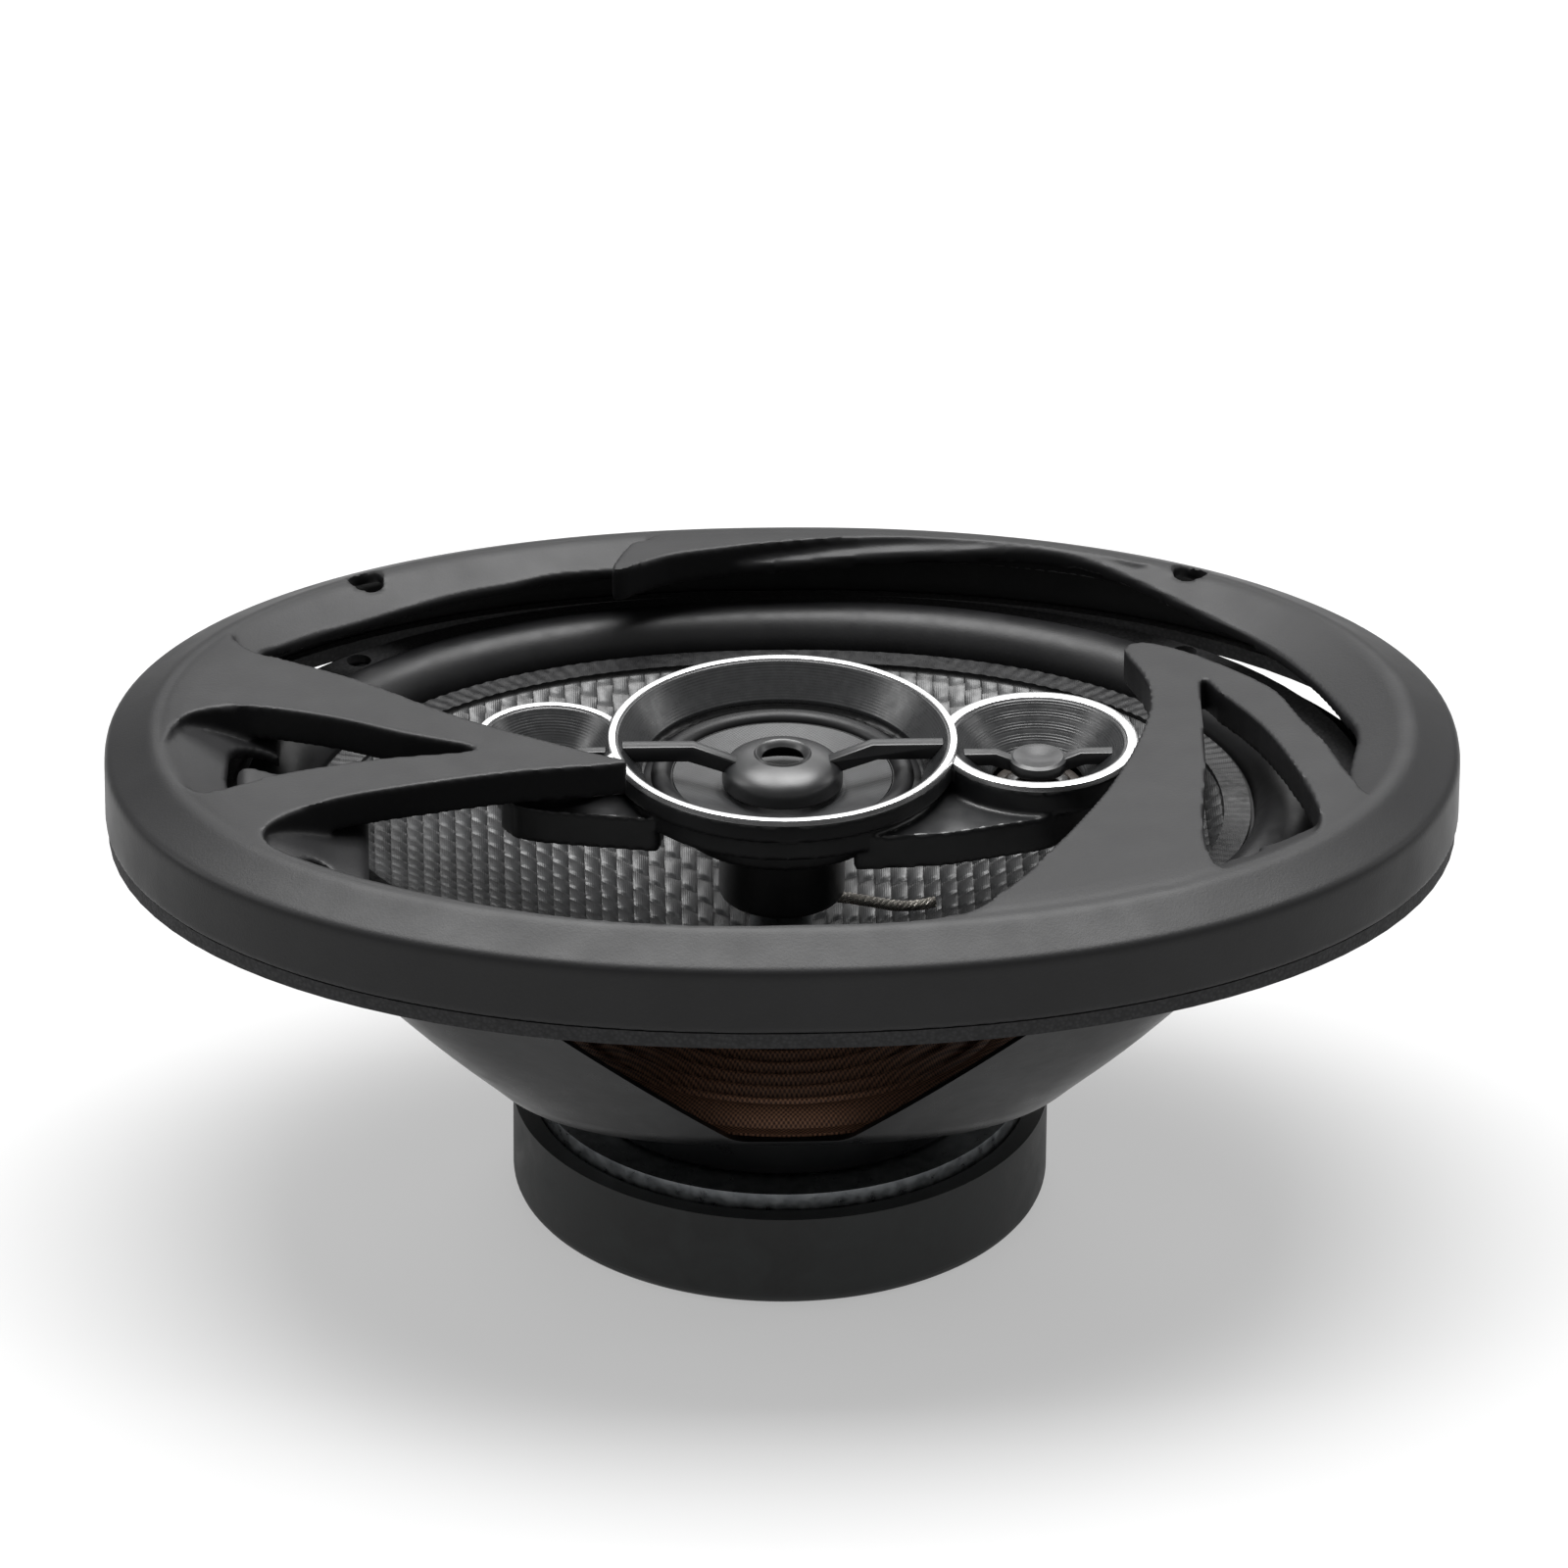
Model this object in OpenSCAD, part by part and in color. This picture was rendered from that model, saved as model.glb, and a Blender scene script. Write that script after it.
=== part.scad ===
// Oval coaxial car speaker, 6 x 9 inch class, with a midrange and two tweeters on a centre pod.
// Millimetres, +Z up. Origin: centre of the magnet's underside, which the speaker stands on.

/* [Bezel] */
// Length of the grille along X
bezel_len = 257; // [250:1:262]
// Width of the grille along Y
bezel_wid = 177; // [172:1:182]
// Height of the grille's outer top edge above the floor
bezel_z = 94; // [93:0.5:95]
// Height of the grille's raised crest and fins
crest_z = 100; // [98:0.5:101]
// Height of the grille's lower edge
skirt_z = 80.7; // [80.5:0.1:81]
// Wall thickness of the grille
grille_wall = 2.5; // [2:0.1:3]

/* [Basket] */
// Underside of the mounting flange
flange_z = 77.8; // [77.7:0.1:78]
// Sheet thickness of the basket
sheet = 1.4; // [1.2:0.1:1.5]
// Screw spacing along X
hole_dx = 160; // [158:1:162]
// Screw spacing along Y
hole_dy = 116; // [114:1:118]
// Screw hole radius
hole_r = 2.4; // [2.2:0.1:2.5]
// Height of the plateau that carries the spider
plateau_z = 36; // [35.5:0.5:36.5]

/* [Motor] */
// Radius of the magnet
magnet_r = 49.4; // [48:0.1:49.5]
// Outer radius of the rubber boot
boot_r = 51.3; // [51:0.1:52]
// Radius of the steel top plate
plate_r = 47.2; // [46:0.1:47.4]
// Radius of the pole
pole_r = 14.6; // [14:0.1:14.7]
// Inner radius of the voice coil's former
former_r = 15.1; // [15:0.05:15.2]

/* [Cone] */
// Half length of the cone at its edge
cone_a = 89; // [88:0.5:90]
// Half width of the cone at its edge
cone_b = 63; // [62:0.5:64]
// Height of the cone's flat edge
cone_z = 80.2; // [80:0.1:80.4]
// Width of the surround's half roll
roll_w = 13.4; // [12.5:0.1:13.6]
// Height of the surround's half roll
roll_h = 6.8; // [6:0.1:7.2]

/* [Pod] */
// Outer radius of the midrange ring
mid_r = 33.1; // [32.8:0.1:33.4]
// Outer radius of the tweeter ring
tweeter_r = 19; // [18.5:0.1:19.2]
// Distance of the tweeter from the centre, along +X
tweeter_x = 48.5; // [48:0.1:49]
// Outer radius of the super tweeter ring
super_r = 14.3; // [14:0.1:14.5]
// Distance of the super tweeter from the centre, along -X
super_x = 44; // [43.5:0.1:44.5]

/* [Hidden] */
$fn = 96;

oval_n = 2.14;                    // exponent of the oval: 2 is an ellipse
bezel_a = bezel_len / 2;
bezel_b = bezel_wid / 2;
eps = 0.01;

// magnet stack, from the floor up
boot_wall = 1.6;
boot_h = 19.2;
yoke_top = 6.4;
magnet_top = 18.2;
plate_h = 4.2;
plate_top = magnet_top + plate_h;
seat_z = plate_top;
gap_r = 16.5;
post_r = 6;
post_top = 66;

// cone and suspension
neck_z = 43.6;
paper = 0.8;
edge_w = 5;                       // flat edge of the cone, which carries the surround
foot_z = flange_z + sheet;
gasket_z = foot_z + 0.75;
gasket_h = 1.6;
former_t = 0.25;
coil_t = 0.5;

// pod
pod_floor = 78;
mid_rim = 94;
tweeter_rim = 93;
super_rim = 94.5;
web_top = 88;
web_bottom = 81;

function sgn_pow(v, p) = sign(v) * pow(abs(v), p);
function oval(a, b, n = oval_n, steps = 96) =
    [for (i = [0 : steps - 1]) let (t = 360 * i / steps)
        [a * sgn_pow(cos(t), 2 / n), b * sgn_pow(sin(t), 2 / n)]];
// one ring of a loft: row = [half length, half width, exponent, height]
function ring3(row, steps) = [for (p = oval(row[0], row[1], row[2], steps)) [p[0], p[1], row[3]]];

module oval_ring(a, b, wall_a, wall_b, h)
    linear_extrude(h) difference() {
        polygon(oval(a, b));
        polygon(oval(a - wall_a, b - wall_b));
    }

module oval_slice(a, b, z, h = eps) translate([0, 0, z]) linear_extrude(h) polygon(oval(a, b));

// closed skin through rows that run round a section: up the outside, then back down the inside
module loft(rows, steps = 72) {
    count = len(rows);
    points = [for (row = rows) each ring3(row, steps)];
    faces = [for (j = [0 : count - 1], i = [0 : steps - 1])
        let (
            k = (j + 1) % count, m = (i + 1) % steps,
            a = j * steps + i, b = j * steps + m, c = k * steps + m, d = k * steps + i
        ) each [[a, c, b], [a, d, c]]];
    polyhedron(points, faces, convexity = 8);
}

module spun(points) rotate_extrude() polygon(points);

module at_corners() for (x = [-1, 1], y = [-1, 1])
    translate([x * hole_dx / 2, y * hole_dy / 2, 0]) children();

function unit(v) = v / norm(v);
function tangent(path, i) = unit(path[min(i + 1, len(path) - 1)] - path[max(i - 1, 0)]);

// round wire swept along a path; side is square to the plane that the path mostly lies in
module wire(path, r, side, sides = 8) {
    last = len(path) - 1;
    points = [for (i = [0 : last])
        let (t = tangent(path, i), u = unit(cross(side, t)), v = cross(t, u))
        for (a = [0 : 360 / sides : 359]) path[i] + r * (cos(a) * u + sin(a) * v)];
    skin = [for (i = [0 : last - 1], k = [0 : sides - 1])
        let (
            a = i * sides + k, b = i * sides + (k + 1) % sides,
            c = (i + 1) * sides + (k + 1) % sides, d = (i + 1) * sides + k
        ) each [[a, c, b], [a, d, c]]];
    ends = [[for (k = [0 : sides - 1]) k], [for (k = [sides - 1 : -1 : 0]) last * sides + k]];
    polyhedron(points, concat(skin, ends), convexity = 6);
}

// ---------------------------------------------------------------- grille
// outlines of the raised fins, seen from above, each with its root in the outer strip
fin_left = [
    [-106, 44], [-103, 33], [-97, 26.5], [-80, 16], [-60, 0], [-36, -14], [-30, -18], [-50, -21],
    [-70, -26], [-85, -31], [-96, -38], [-98, -44], [-92, -52], [-80, -61], [-60, -70], [-40, -76],
    [-70, -88], [-118, -58], [-130, -20], [-130, 30], [-112, 58]
];
fin_left_window = [
    [-116, -5], [-110, 5], [-101, 6], [-85, 1], [-58, -12], [-75, -15], [-90, -19], [-108, -26]
];
fin_right = [
    [20, -78], [30, -76], [40, -66], [50, -50], [60, -30], [67, -10], [70, 5], [69, 15], [66, 25],
    [70, 28], [78, 24], [86, 17], [94, 8], [98, -3], [103, -15], [106, -25], [112, -33], [130, -24],
    [124, -50], [100, -70], [70, -88], [20, -92]
];
fin_right_window = [
    [80, 12], [83, 8], [90, -5], [95, -20], [99, -38], [97, -48], [88, -55], [82, -60], [78, -56],
    [77, -44], [79, -20]
];
fin_back = [
    [-31, 59.5], [-20, 66], [-10, 69], [0, 71.5], [20, 74], [40, 73], [60, 68], [75, 62], [80, 76],
    [40, 92], [-16, 92], [-22, 76], [-27, 72]
];
front_crest = [
    [-40, -76], [-20, -79], [20, -79], [34, -77], [70, -88], [20, -96], [-20, -96], [-70, -88]
];
// outline of the one large opening in the sloping band, which the fins cross
opening = [
    [-95, 26], [-99, 34], [-95, 38], [-88, 43.5], [-80, 48.5], [-70, 54.5], [-60, 59.5], [-50, 63],
    [-40, 66.5], [-20, 69], [0, 70], [20, 71.5], [40, 71], [50, 70], [60, 66.5], [70, 59.5], [80, 50.5],
    [90, 40.5], [97, 31.5], [103, 20], [107, 8], [109, -1], [107, -12], [105, -24], [98, -50], [86, -62],
    [70, -66], [40, -66], [26, -76], [0, -78], [-20, -77.5], [-40, -74.5], [-60, -68], [-80, -58],
    [-93, -49], [-99, -42], [-97, -36]
];

module crown() hull() {
    oval_slice(bezel_a, bezel_b, skirt_z);
    oval_slice(bezel_a, bezel_b, bezel_z);
    oval_slice(bezel_a - 11, bezel_b - 10, crest_z - eps);
}

module sloping_band() {
    strip = 9.5;
    band = 34;
    ridge_z = crest_z - 1.4;
    low_z = ridge_z - 8.8;
    loft([
        [bezel_a - grille_wall, bezel_b - grille_wall, oval_n, skirt_z],
        [bezel_a, bezel_b, oval_n, skirt_z],
        [bezel_a, bezel_b, oval_n, bezel_z],
        [bezel_a - strip, bezel_b - strip, oval_n, ridge_z],
        [bezel_a - band, bezel_b - band, oval_n, low_z],
        [bezel_a - band, bezel_b - band, oval_n, low_z - grille_wall],
        [bezel_a - strip, bezel_b - strip, oval_n, ridge_z - grille_wall],
        [bezel_a - grille_wall, bezel_b - grille_wall, oval_n, bezel_z - grille_wall]
    ], 96);
}

module fins() {
    fin_bottom = crest_z - 7;
    translate([0, 0, fin_bottom]) linear_extrude(crest_z - fin_bottom) {
        difference() {
            polygon(fin_left);
            polygon(fin_left_window);
        }
        difference() {
            polygon(fin_right);
            polygon(fin_right_window);
        }
        polygon(fin_back);
        polygon(front_crest);
    }
}

module grille() color([0.16, 0.16, 0.17]) {
    boss_r = 4.6;
    boss_bottom = gasket_z + gasket_h + 0.15;
    boss_top = 95.5;
    recess_r = 3.4;
    recess_z = 88;
    difference() {
        union() {
            difference() {
                sloping_band();
                translate([0, 0, skirt_z + 1]) linear_extrude(30) polygon(opening);
            }
            intersection() {
                fins();
                crown();
            }
            at_corners() translate([0, 0, boss_bottom]) cylinder(h = boss_top - boss_bottom, r = boss_r);
        }
        at_corners() {
            translate([0, 0, flange_z]) cylinder(h = 15, r = hole_r);
            translate([0, 0, recess_z]) cylinder(h = 20, r = recess_r);
        }
        // the left fin passes over the pod's rings
        translate([0, 0, skirt_z]) cylinder(h = mid_rim + 1.7 - skirt_z, r = mid_r + 0.6);
        translate([-super_x, 0, skirt_z]) cylinder(h = super_rim + 1.6 - skirt_z, r = super_r + 0.6);
    }
}

module panel_gasket() color([0.2, 0.2, 0.21]) {
    translate([0, 0, flange_z - 0.2])
        oval_ring(bezel_a - 0.5, bezel_b - 0.4, 3, 3, skirt_z - flange_z + 0.15);
}

// ---------------------------------------------------------------- basket
module rounded_rect(a, b, r, h) linear_extrude(h)
    polygon([for (q = [0 : 3], t = [0 : 7.5 : 90]) let (
        sx = (q == 0 || q == 3) ? 1 : -1, sy = (q < 2) ? 1 : -1
    ) [sx * (a - r) + r * cos(90 * q + t), sy * (b - r) + r * sin(90 * q + t)]]);

plateau_a = 60;
plateau_b = 53;
wall_top_a = 106;
wall_top_b = 80;

module basket_tub(inset) hull() {
    translate([0, 0, plateau_z]) rounded_rect(plateau_a - inset, plateau_b - inset, 30 - inset, eps);
    oval_slice(wall_top_a - inset, wall_top_b - inset, foot_z - eps);
}

module long_side_window() // opening in the front and back walls
    rotate([90, 0, 0]) linear_extrude(120) polygon([[-10.5, 37.8], [10.5, 37.8], [48, 73], [-48, 73]]);

module short_side_window() // opening in the end walls
    rotate([90, 0, 90]) linear_extrude(140) polygon([[-9, 41], [9, 41], [31, 72], [-31, 72]]);

module basket() color([0.12, 0.12, 0.13]) difference() {
    seat_bore = 18;
    step_top_r = 43;
    step_low_r = 40;
    flange_a = 118;
    flange_b = 81;
    ear_r = 6.5;
    union() {
        difference() {
            union() {
                basket_tub(0);
                oval_slice(flange_a, flange_b, flange_z, sheet);
                at_corners() translate([0, 0, flange_z]) cylinder(h = sheet, r = ear_r);
            }
            difference() {
                basket_tub(sheet);
                translate([-70, -70, plateau_z - 1]) cube([140, 140, 1 + sheet]);
            }
            oval_slice(wall_top_a - sheet, wall_top_b - sheet, flange_z - eps, 5);
            cylinder(h = 60, r = step_top_r - sheet);
            long_side_window();
            mirror([0, 1, 0]) long_side_window();
            short_side_window();
            mirror([1, 0, 0]) short_side_window();
        }
        spun([
            [seat_bore, seat_z], [step_low_r, seat_z], [step_top_r, plateau_z], [step_top_r + 1, plateau_z],
            [step_top_r + 1, plateau_z + sheet], [step_top_r - sheet, plateau_z + sheet],
            [step_low_r - sheet, seat_z + sheet], [seat_bore, seat_z + sheet]
        ]);
        // upright tab behind the rear window's lower edge, for the terminal board
        translate([-18, plateau_b - 2, plateau_z]) cube([36, sheet, 20]);
    }
    at_corners() translate([0, 0, flange_z - 5]) cylinder(h = 12, r = hole_r);
    // room for the terminal board and its blades
    translate([-19, plateau_b - 2 + sheet, plateau_z - 2]) cube([38, 30, 24]);
    for (t = [45 : 90 : 315]) rotate(t) translate([30, 0, seat_z - 1]) cylinder(h = 5, r = 2.1, $fn = 32);
    for (x = [-12, 12]) translate([x, 0, 41]) rotate([-90, 0, 0]) cylinder(h = 80, r = 1.3, $fn = 32);
}

// ---------------------------------------------------------------- motor
module magnet_boot() color([0.17, 0.18, 0.18]) {
    edge = 3;
    spun(concat(
        [[22, 0], [boot_r - edge, 0]],
        [for (t = [-75 : 15 : 0]) [boot_r - edge + edge * cos(t), edge + edge * sin(t)]],
        [[boot_r, boot_h], [plate_r + 0.5, boot_h], [plate_r + 0.5, magnet_top + 0.1]],
        [[boot_r - boot_wall, magnet_top + 0.1], [boot_r - boot_wall, boot_wall], [22, boot_wall]]
    ));
}

module back_plate() color([0.55, 0.56, 0.58]) difference() {
    spun([
        [0, boot_wall], [plate_r, boot_wall], [plate_r, yoke_top], [pole_r, yoke_top],
        [pole_r, plate_top + 1.6], [0, plate_top + 1.6]
    ]);
    cylinder(h = 60, r = 5);
    cylinder(h = 5, r = 8);
}

module magnet() color([0.2, 0.2, 0.2])
    spun([[26, yoke_top], [magnet_r, yoke_top], [magnet_r, magnet_top], [26, magnet_top]]);

module top_plate() color([0.6, 0.61, 0.62]) difference() {
    spun([[gap_r, magnet_top], [plate_r, magnet_top], [plate_r, plate_top], [gap_r, plate_top]]);
    for (t = [45 : 90 : 315]) rotate(t) translate([30, 0, magnet_top - 1])
        cylinder(h = 9, r = 1.9, $fn = 32);
}

module centre_bolt() color([0.7, 0.7, 0.72]) {
    translate([0, 0, 1.8]) difference() {
        cylinder(h = 3.1, r = 6.6);
        translate([0, 0, -1]) cylinder(h = 3.2, r = 2.6, $fn = 6);
    }
    translate([0, 0, 4.9 - eps]) cylinder(h = 24, r = 2.9);
}

module centre_post() color([0.5, 0.5, 0.52]) difference() {
    pole_end = plate_top + 1.6;
    union() {
        translate([0, 0, pole_end]) cylinder(h = post_top - pole_end, r = post_r);
        translate([0, 0, 8]) cylinder(h = pole_end - 8 + eps, r = 4.9);
    }
    translate([0, 0, 7]) cylinder(h = 23, r = 3);
    translate([0, 0, 34]) cylinder(h = 40, r = 2.5);
    translate([0, 0, 60]) rotate([0, 90, 0]) cylinder(h = 10, r = 1.2, $fn = 32);
}

module basket_screws() color([0.65, 0.65, 0.67])
    for (t = [45 : 90 : 315]) rotate(t) translate([30, 0, 0]) {
        translate([0, 0, magnet_top + 0.1]) cylinder(h = plate_h + sheet - 0.1, r = 1.85, $fn = 32);
        translate([0, 0, seat_z + sheet]) cylinder(h = 1.8, r = 3.6, $fn = 32);
    }

// ---------------------------------------------------------------- woofer
// oval row at a distance outside the cone's edge
function row(d, z) = [cone_a + d, cone_b + d, oval_n, z];
// row of the cone's wall, from the neck at t = 0 to the flat edge at t = 1
function cone_row(t, drop) = [
    former_r + 0.5 + (cone_a - edge_w - former_r - 0.5) * t,
    former_r + 0.5 + (cone_b - edge_w - former_r - 0.5) * t,
    2 + (oval_n - 2) * t,
    neck_z + (cone_z - 1 - neck_z) * pow(t, 0.92) - drop
];

module cone() color([0.13, 0.13, 0.14]) {
    steps = [0 : 0.125 : 1];
    loft(concat(
        [for (t = steps) cone_row(t, paper)],
        [row(1.2 - edge_w, cone_z - paper), row(0, cone_z - paper)],
        [row(0, cone_z), row(-edge_w, cone_z)],
        [for (t = steps) cone_row(1 - t, 0)]
    ));
}

module voice_coil_former() color([0.75, 0.6, 0.35])
    translate([0, 0, 12.5]) difference() {
        cylinder(h = 32, r = former_r + former_t);
        translate([0, 0, -1]) cylinder(h = 34, r = former_r);
    }

module voice_coil() color([0.72, 0.38, 0.2])
    translate([0, 0, 14]) difference() {
        cylinder(h = 13.5, r = former_r + former_t + coil_t);
        translate([0, 0, -1]) cylinder(h = 16, r = former_r + former_t + 0.02);
    }

module dust_seal() color([0.1, 0.1, 0.1])
    spun([[post_r + 0.6, 44.2], [former_r - 0.05, 43], [former_r - 0.05, 43.7], [post_r + 0.6, 44.9]]);

module spider() color([0.32, 0.2, 0.14]) {
    cloth = 0.5;
    inner = former_r + former_t + 0.15;
    corrugated = [for (r = [inner : 1.05 : 44.5])
        [r, plateau_z + sheet + 2.2 + 1.3 * sin((r - inner) * 80)]];
    seat = plateau_z + sheet;
    lower = concat(corrugated, [[46.5, seat + 2.2], [48.5, seat + 1.2], [49, seat], [51.4, seat]]);
    spun(concat(lower, [for (i = [len(lower) - 1 : -1 : 0]) [lower[i][0], lower[i][1] + cloth]]));
}

module surround() color([0.1, 0.1, 0.11]) {
    rubber = 0.6;
    middle = 0.7 + roll_w / 2;
    arc = [for (t = [0 : 20 : 180]) t];
    crease_z = foot_z + 0.05;
    loft(concat(
        [row(-3, cone_z - 1.65), row(1.3, cone_z - 1.65)],
        [for (t = arc) row(middle - (roll_w / 2 - rubber) * cos(t), crease_z + (roll_h - rubber) * sin(t))],
        [row(2 * middle - 0.6, foot_z + 0.02), row(2 * middle + 5.4, foot_z + 0.02)],
        [row(2 * middle + 5.4, foot_z + rubber), row(2 * middle + 0.1, foot_z + rubber)],
        [for (t = arc) row(middle + roll_w / 2 * cos(t), crease_z + rubber / 2 + roll_h * sin(t))],
        [row(0.4, cone_z - 1.05), row(-3, cone_z - 1.05)]
    ));
}

module front_gasket() color([0.08, 0.08, 0.08]) difference() {
    translate([0, 0, gasket_z]) oval_ring(112.5, 83.5, 7.5, 5.6, gasket_h);
    at_corners() translate([0, 0, gasket_z - 1]) cylinder(h = gasket_h + 2, r = hole_r);
}

// ---------------------------------------------------------------- terminals and wiring
board_y = plateau_b - 2 + sheet;
board_t = 1.6;

module terminal_board() color([0.5, 0.36, 0.2]) difference() {
    translate([-18, board_y + 0.02, 38]) cube([36, board_t, 19]);
    for (x = [-12, 12]) translate([x, board_y - 1, 41]) rotate([-90, 0, 0])
      cylinder(h = 5, r = 1.3, $fn = 32);
}

module blade(x, w) difference() {
    y = board_y + board_t + 0.05;
    union() {
        translate([x - w / 2, y, 27]) cube([w, 0.8, 17]);
        translate([x - w / 2 + 0.3, y, 26.4]) cube([w - 0.6, 0.8, 1]);
    }
    translate([x, y - 1, 41]) rotate([-90, 0, 0]) cylinder(h = 3, r = 1.3, $fn = 32);
    translate([x, y - 1, 30.5]) rotate([-90, 0, 0]) cylinder(h = 3, r = 0.8, $fn = 32);
}

module positive_tab() color([0.85, 0.75, 0.45]) blade(12, 4.8);
module negative_tab() color([0.8, 0.8, 0.82]) blade(-12, 2.8);

module terminal_rivets() color([0.8, 0.8, 0.8])
    for (x = [-12, 12]) translate([x, board_y - sheet - 1, 41]) rotate([-90, 0, 0]) {
        cylinder(h = 5.4, r = 1.25, $fn = 32);
        translate([0, 0, sheet + board_t + 1.9]) cylinder(h = 0.8, r = 2.2, $fn = 32);
        translate([0, 0, 0.1]) cylinder(h = 0.88, r = 2.2, $fn = 32);
    }

module can(r, length) rotate([0, 90, 0]) {
    cylinder(h = length, r = r, center = true, $fn = 48);
}

module midrange_capacitor() color([0.16, 0.17, 0.3])
    translate([0, board_y + board_t + 4.7, 51.5]) can(4.5, 17);

module tweeter_capacitor() color([0.2, 0.3, 0.2])
    translate([0, board_y + board_t + 3.2, 42.5]) can(3, 13);

// braided leads from the terminal board to the back of the cone
module tinsel_leads() color([0.7, 0.62, 0.5]) for (s = [-1, 1])
    wire([
        [12 * s, 50, 42.5], [11.6 * s, 47, 43.8], [11 * s, 43, 44.8], [10 * s, 37, 46],
        [9 * s, 31, 46.4], [8 * s, 26, 46], [7.4 * s, 22.5, 45], [7 * s, 20, 44.2]
    ], 0.7, [1, 0, 0]);

// braided lead from the centre post to the front of the cone
module pod_lead() color([0.8, 0.78, 0.74])
    wire([
        [6.2, 0, 60], [8, -0.2, 60.4], [10.5, -0.3, 60.5], [13, 0, 60.1], [15.5, 0.5, 59.3],
        [18, 1.2, 58.4], [21, 2.2, 57.2], [24, 3.2, 56.4], [27, 4, 56.2], [29.5, 4.4, 56.6]
    ], 1.1, [0, 1, 0]);

// ---------------------------------------------------------------- pod
web_right = [[12, -27], [49, -20], [60, -8], [40, 6], [20, 0]];
wing_left = [[-54, -8], [-51, -13], [-46, -15], [-24, -19], [-20, 0], [-44, 6]];

module at_tweeter() translate([tweeter_x, 0, 0]) children();
module at_super() translate([-super_x, 0, 0]) children();

module outside_mid() difference() {
    children();
    translate([0, 0, 60]) cylinder(h = 40, r = mid_r + 0.1);
}

module pod_housing() color([0.1, 0.1, 0.11]) difference() {
    union() {
        spun([
            [0, 62], [12, 62], [12, 76], [20.5, 77.5], [20.5, 76.4], [20.5, 84], [31, 85.5], [31, 89.9],
            [mid_r, 90.4], [mid_r, mid_rim], [0, mid_rim]
        ]);
        at_tweeter() spun([
            [0, 79.5], [13.5, 79.5], [13.5, 87], [tweeter_r, 88], [tweeter_r, tweeter_rim], [0, tweeter_rim]
        ]);
        at_super() spun([
            [0, 82], [10.5, 82], [10.5, 88], [super_r, 90.5], [super_r, super_rim], [0, super_rim]
        ]);
        translate([0, 0, web_bottom]) linear_extrude(web_top - web_bottom) {
            polygon(web_right);
            polygon(wing_left);
        }
    }
    spun([
        [0, pod_floor], [18.9, pod_floor], [18.9, 84.3], [24.3, 86.2], [27.6, 86.2], [27.6, 87.6],
        [31.9, 90.6], [31.9, mid_rim + 1], [0, mid_rim + 1]
    ]);
    outside_mid() at_tweeter() spun([
        [0, 81], [12.2, 81], [12.2, 87.6], [17.8, 92.4], [17.8, tweeter_rim + 1], [0, tweeter_rim + 1]
    ]);
    outside_mid() at_super() spun([
        [0, 83.4], [9, 83.4], [9, 88.5], [13.3, 93.2], [13.3, super_rim + 1], [0, super_rim + 1]
    ]);
    translate([0, 0, mid_rim]) cylinder(h = 5, r = mid_r + 0.1);
    translate([0, 0, 50]) cylinder(h = post_top - 50, r = post_r + 0.05);
    translate([0, 0, 60]) cylinder(h = 30, r = 2.5);
}

module band(outer, inner, z, h) translate([0, 0, z]) difference() {
    cylinder(h = h, r = outer);
    translate([0, 0, -1]) cylinder(h = h + 2, r = inner);
}

module midrange_ring() color([0.85, 0.85, 0.86]) band(mid_r, 31.7, mid_rim + 0.02, 1.3);

module midrange_flare() color([0.2, 0.2, 0.21]) spun([
    [26.7, 88], [27.5, 88], [31.6, 92], [31.6, mid_rim + 0.9], [31.2, mid_rim + 0.9], [26.7, 88.9]
]);

module inside_flare(low_r, low_z, high_r, high_z) intersection() {
    children();
    spun([[0, low_z - 10], [low_r, low_z - 10], [low_r, low_z], [high_r, high_z], [0, high_z]]);
}

// low arms that drop towards the middle, with a hollow domed cap in the centre
module bridge_arm(reach, inner_x, bend_x, inner_z, outer_z, width, depth) for (s = [0, 1])
    mirror([s, 0, 0]) rotate([90, 0, 0]) translate([0, 0, -width / 2]) linear_extrude(width) polygon([
        [inner_x, inner_z - depth], [inner_x, inner_z], [bend_x, outer_z], [reach, outer_z],
        [reach, outer_z - depth], [bend_x + 1, outer_z - depth]
    ]);

module midrange_bridge() color([0.12, 0.12, 0.13]) {
    cap_r = 11.5;
    cap_z = 88;
    inside_flare(26.6, 88.9, 31.1, mid_rim + 0.9)
        bridge_arm(32, 8.5, 17, 90.6, mid_rim, 2.8, 3.3);
    spun(concat(
        [[4, 90.6], [cap_r - 1.6, 87.4], [cap_r - 1.6, 85.6], [cap_r, 85.6], [cap_r, cap_z]],
        [for (t = [10 : 10 : 60]) [cap_r * cos(t) * 0.98, cap_z + 4.2 * sin(t)]],
        [[4.6, cap_z + 4.1], [4, cap_z + 3.7]]
    ));
}

module midrange_cone() color([0.15, 0.15, 0.16]) spun([
    [0, 83.9], [8.2, 83.6], [12, 84.1], [20.8, 86.5], [20.8, 86.9], [12, 84.5], [8.2, 84.1], [0, 84.4]
]);

module midrange_surround() color([0.1, 0.1, 0.1]) {
    middle = 23.1;
    spun(concat(
        [[21, 86.55], [21, 86.85]],
        [for (t = [180 : -20 : 0]) [middle + 1.9 * cos(t), 86.9 + 1.6 * sin(t)]],
        [[26.4, 86.6], [26.4, 86.25], [24.6, 86.25]],
        [for (t = [0 : 20 : 180]) [middle + 1.5 * cos(t), 86.55 + 1.3 * sin(t)]]
    ));
}

module midrange_coil() color([0.72, 0.38, 0.2]) band(8, 7.5, 80.6, 2.95);

module midrange_yoke() color([0.6, 0.6, 0.62]) spun([
    [0, pod_floor + 0.02], [10.4, pod_floor + 0.02], [10.4, 82.2], [8.6, 82.2], [8.6, 79.2], [0, 79.2]
]);

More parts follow.
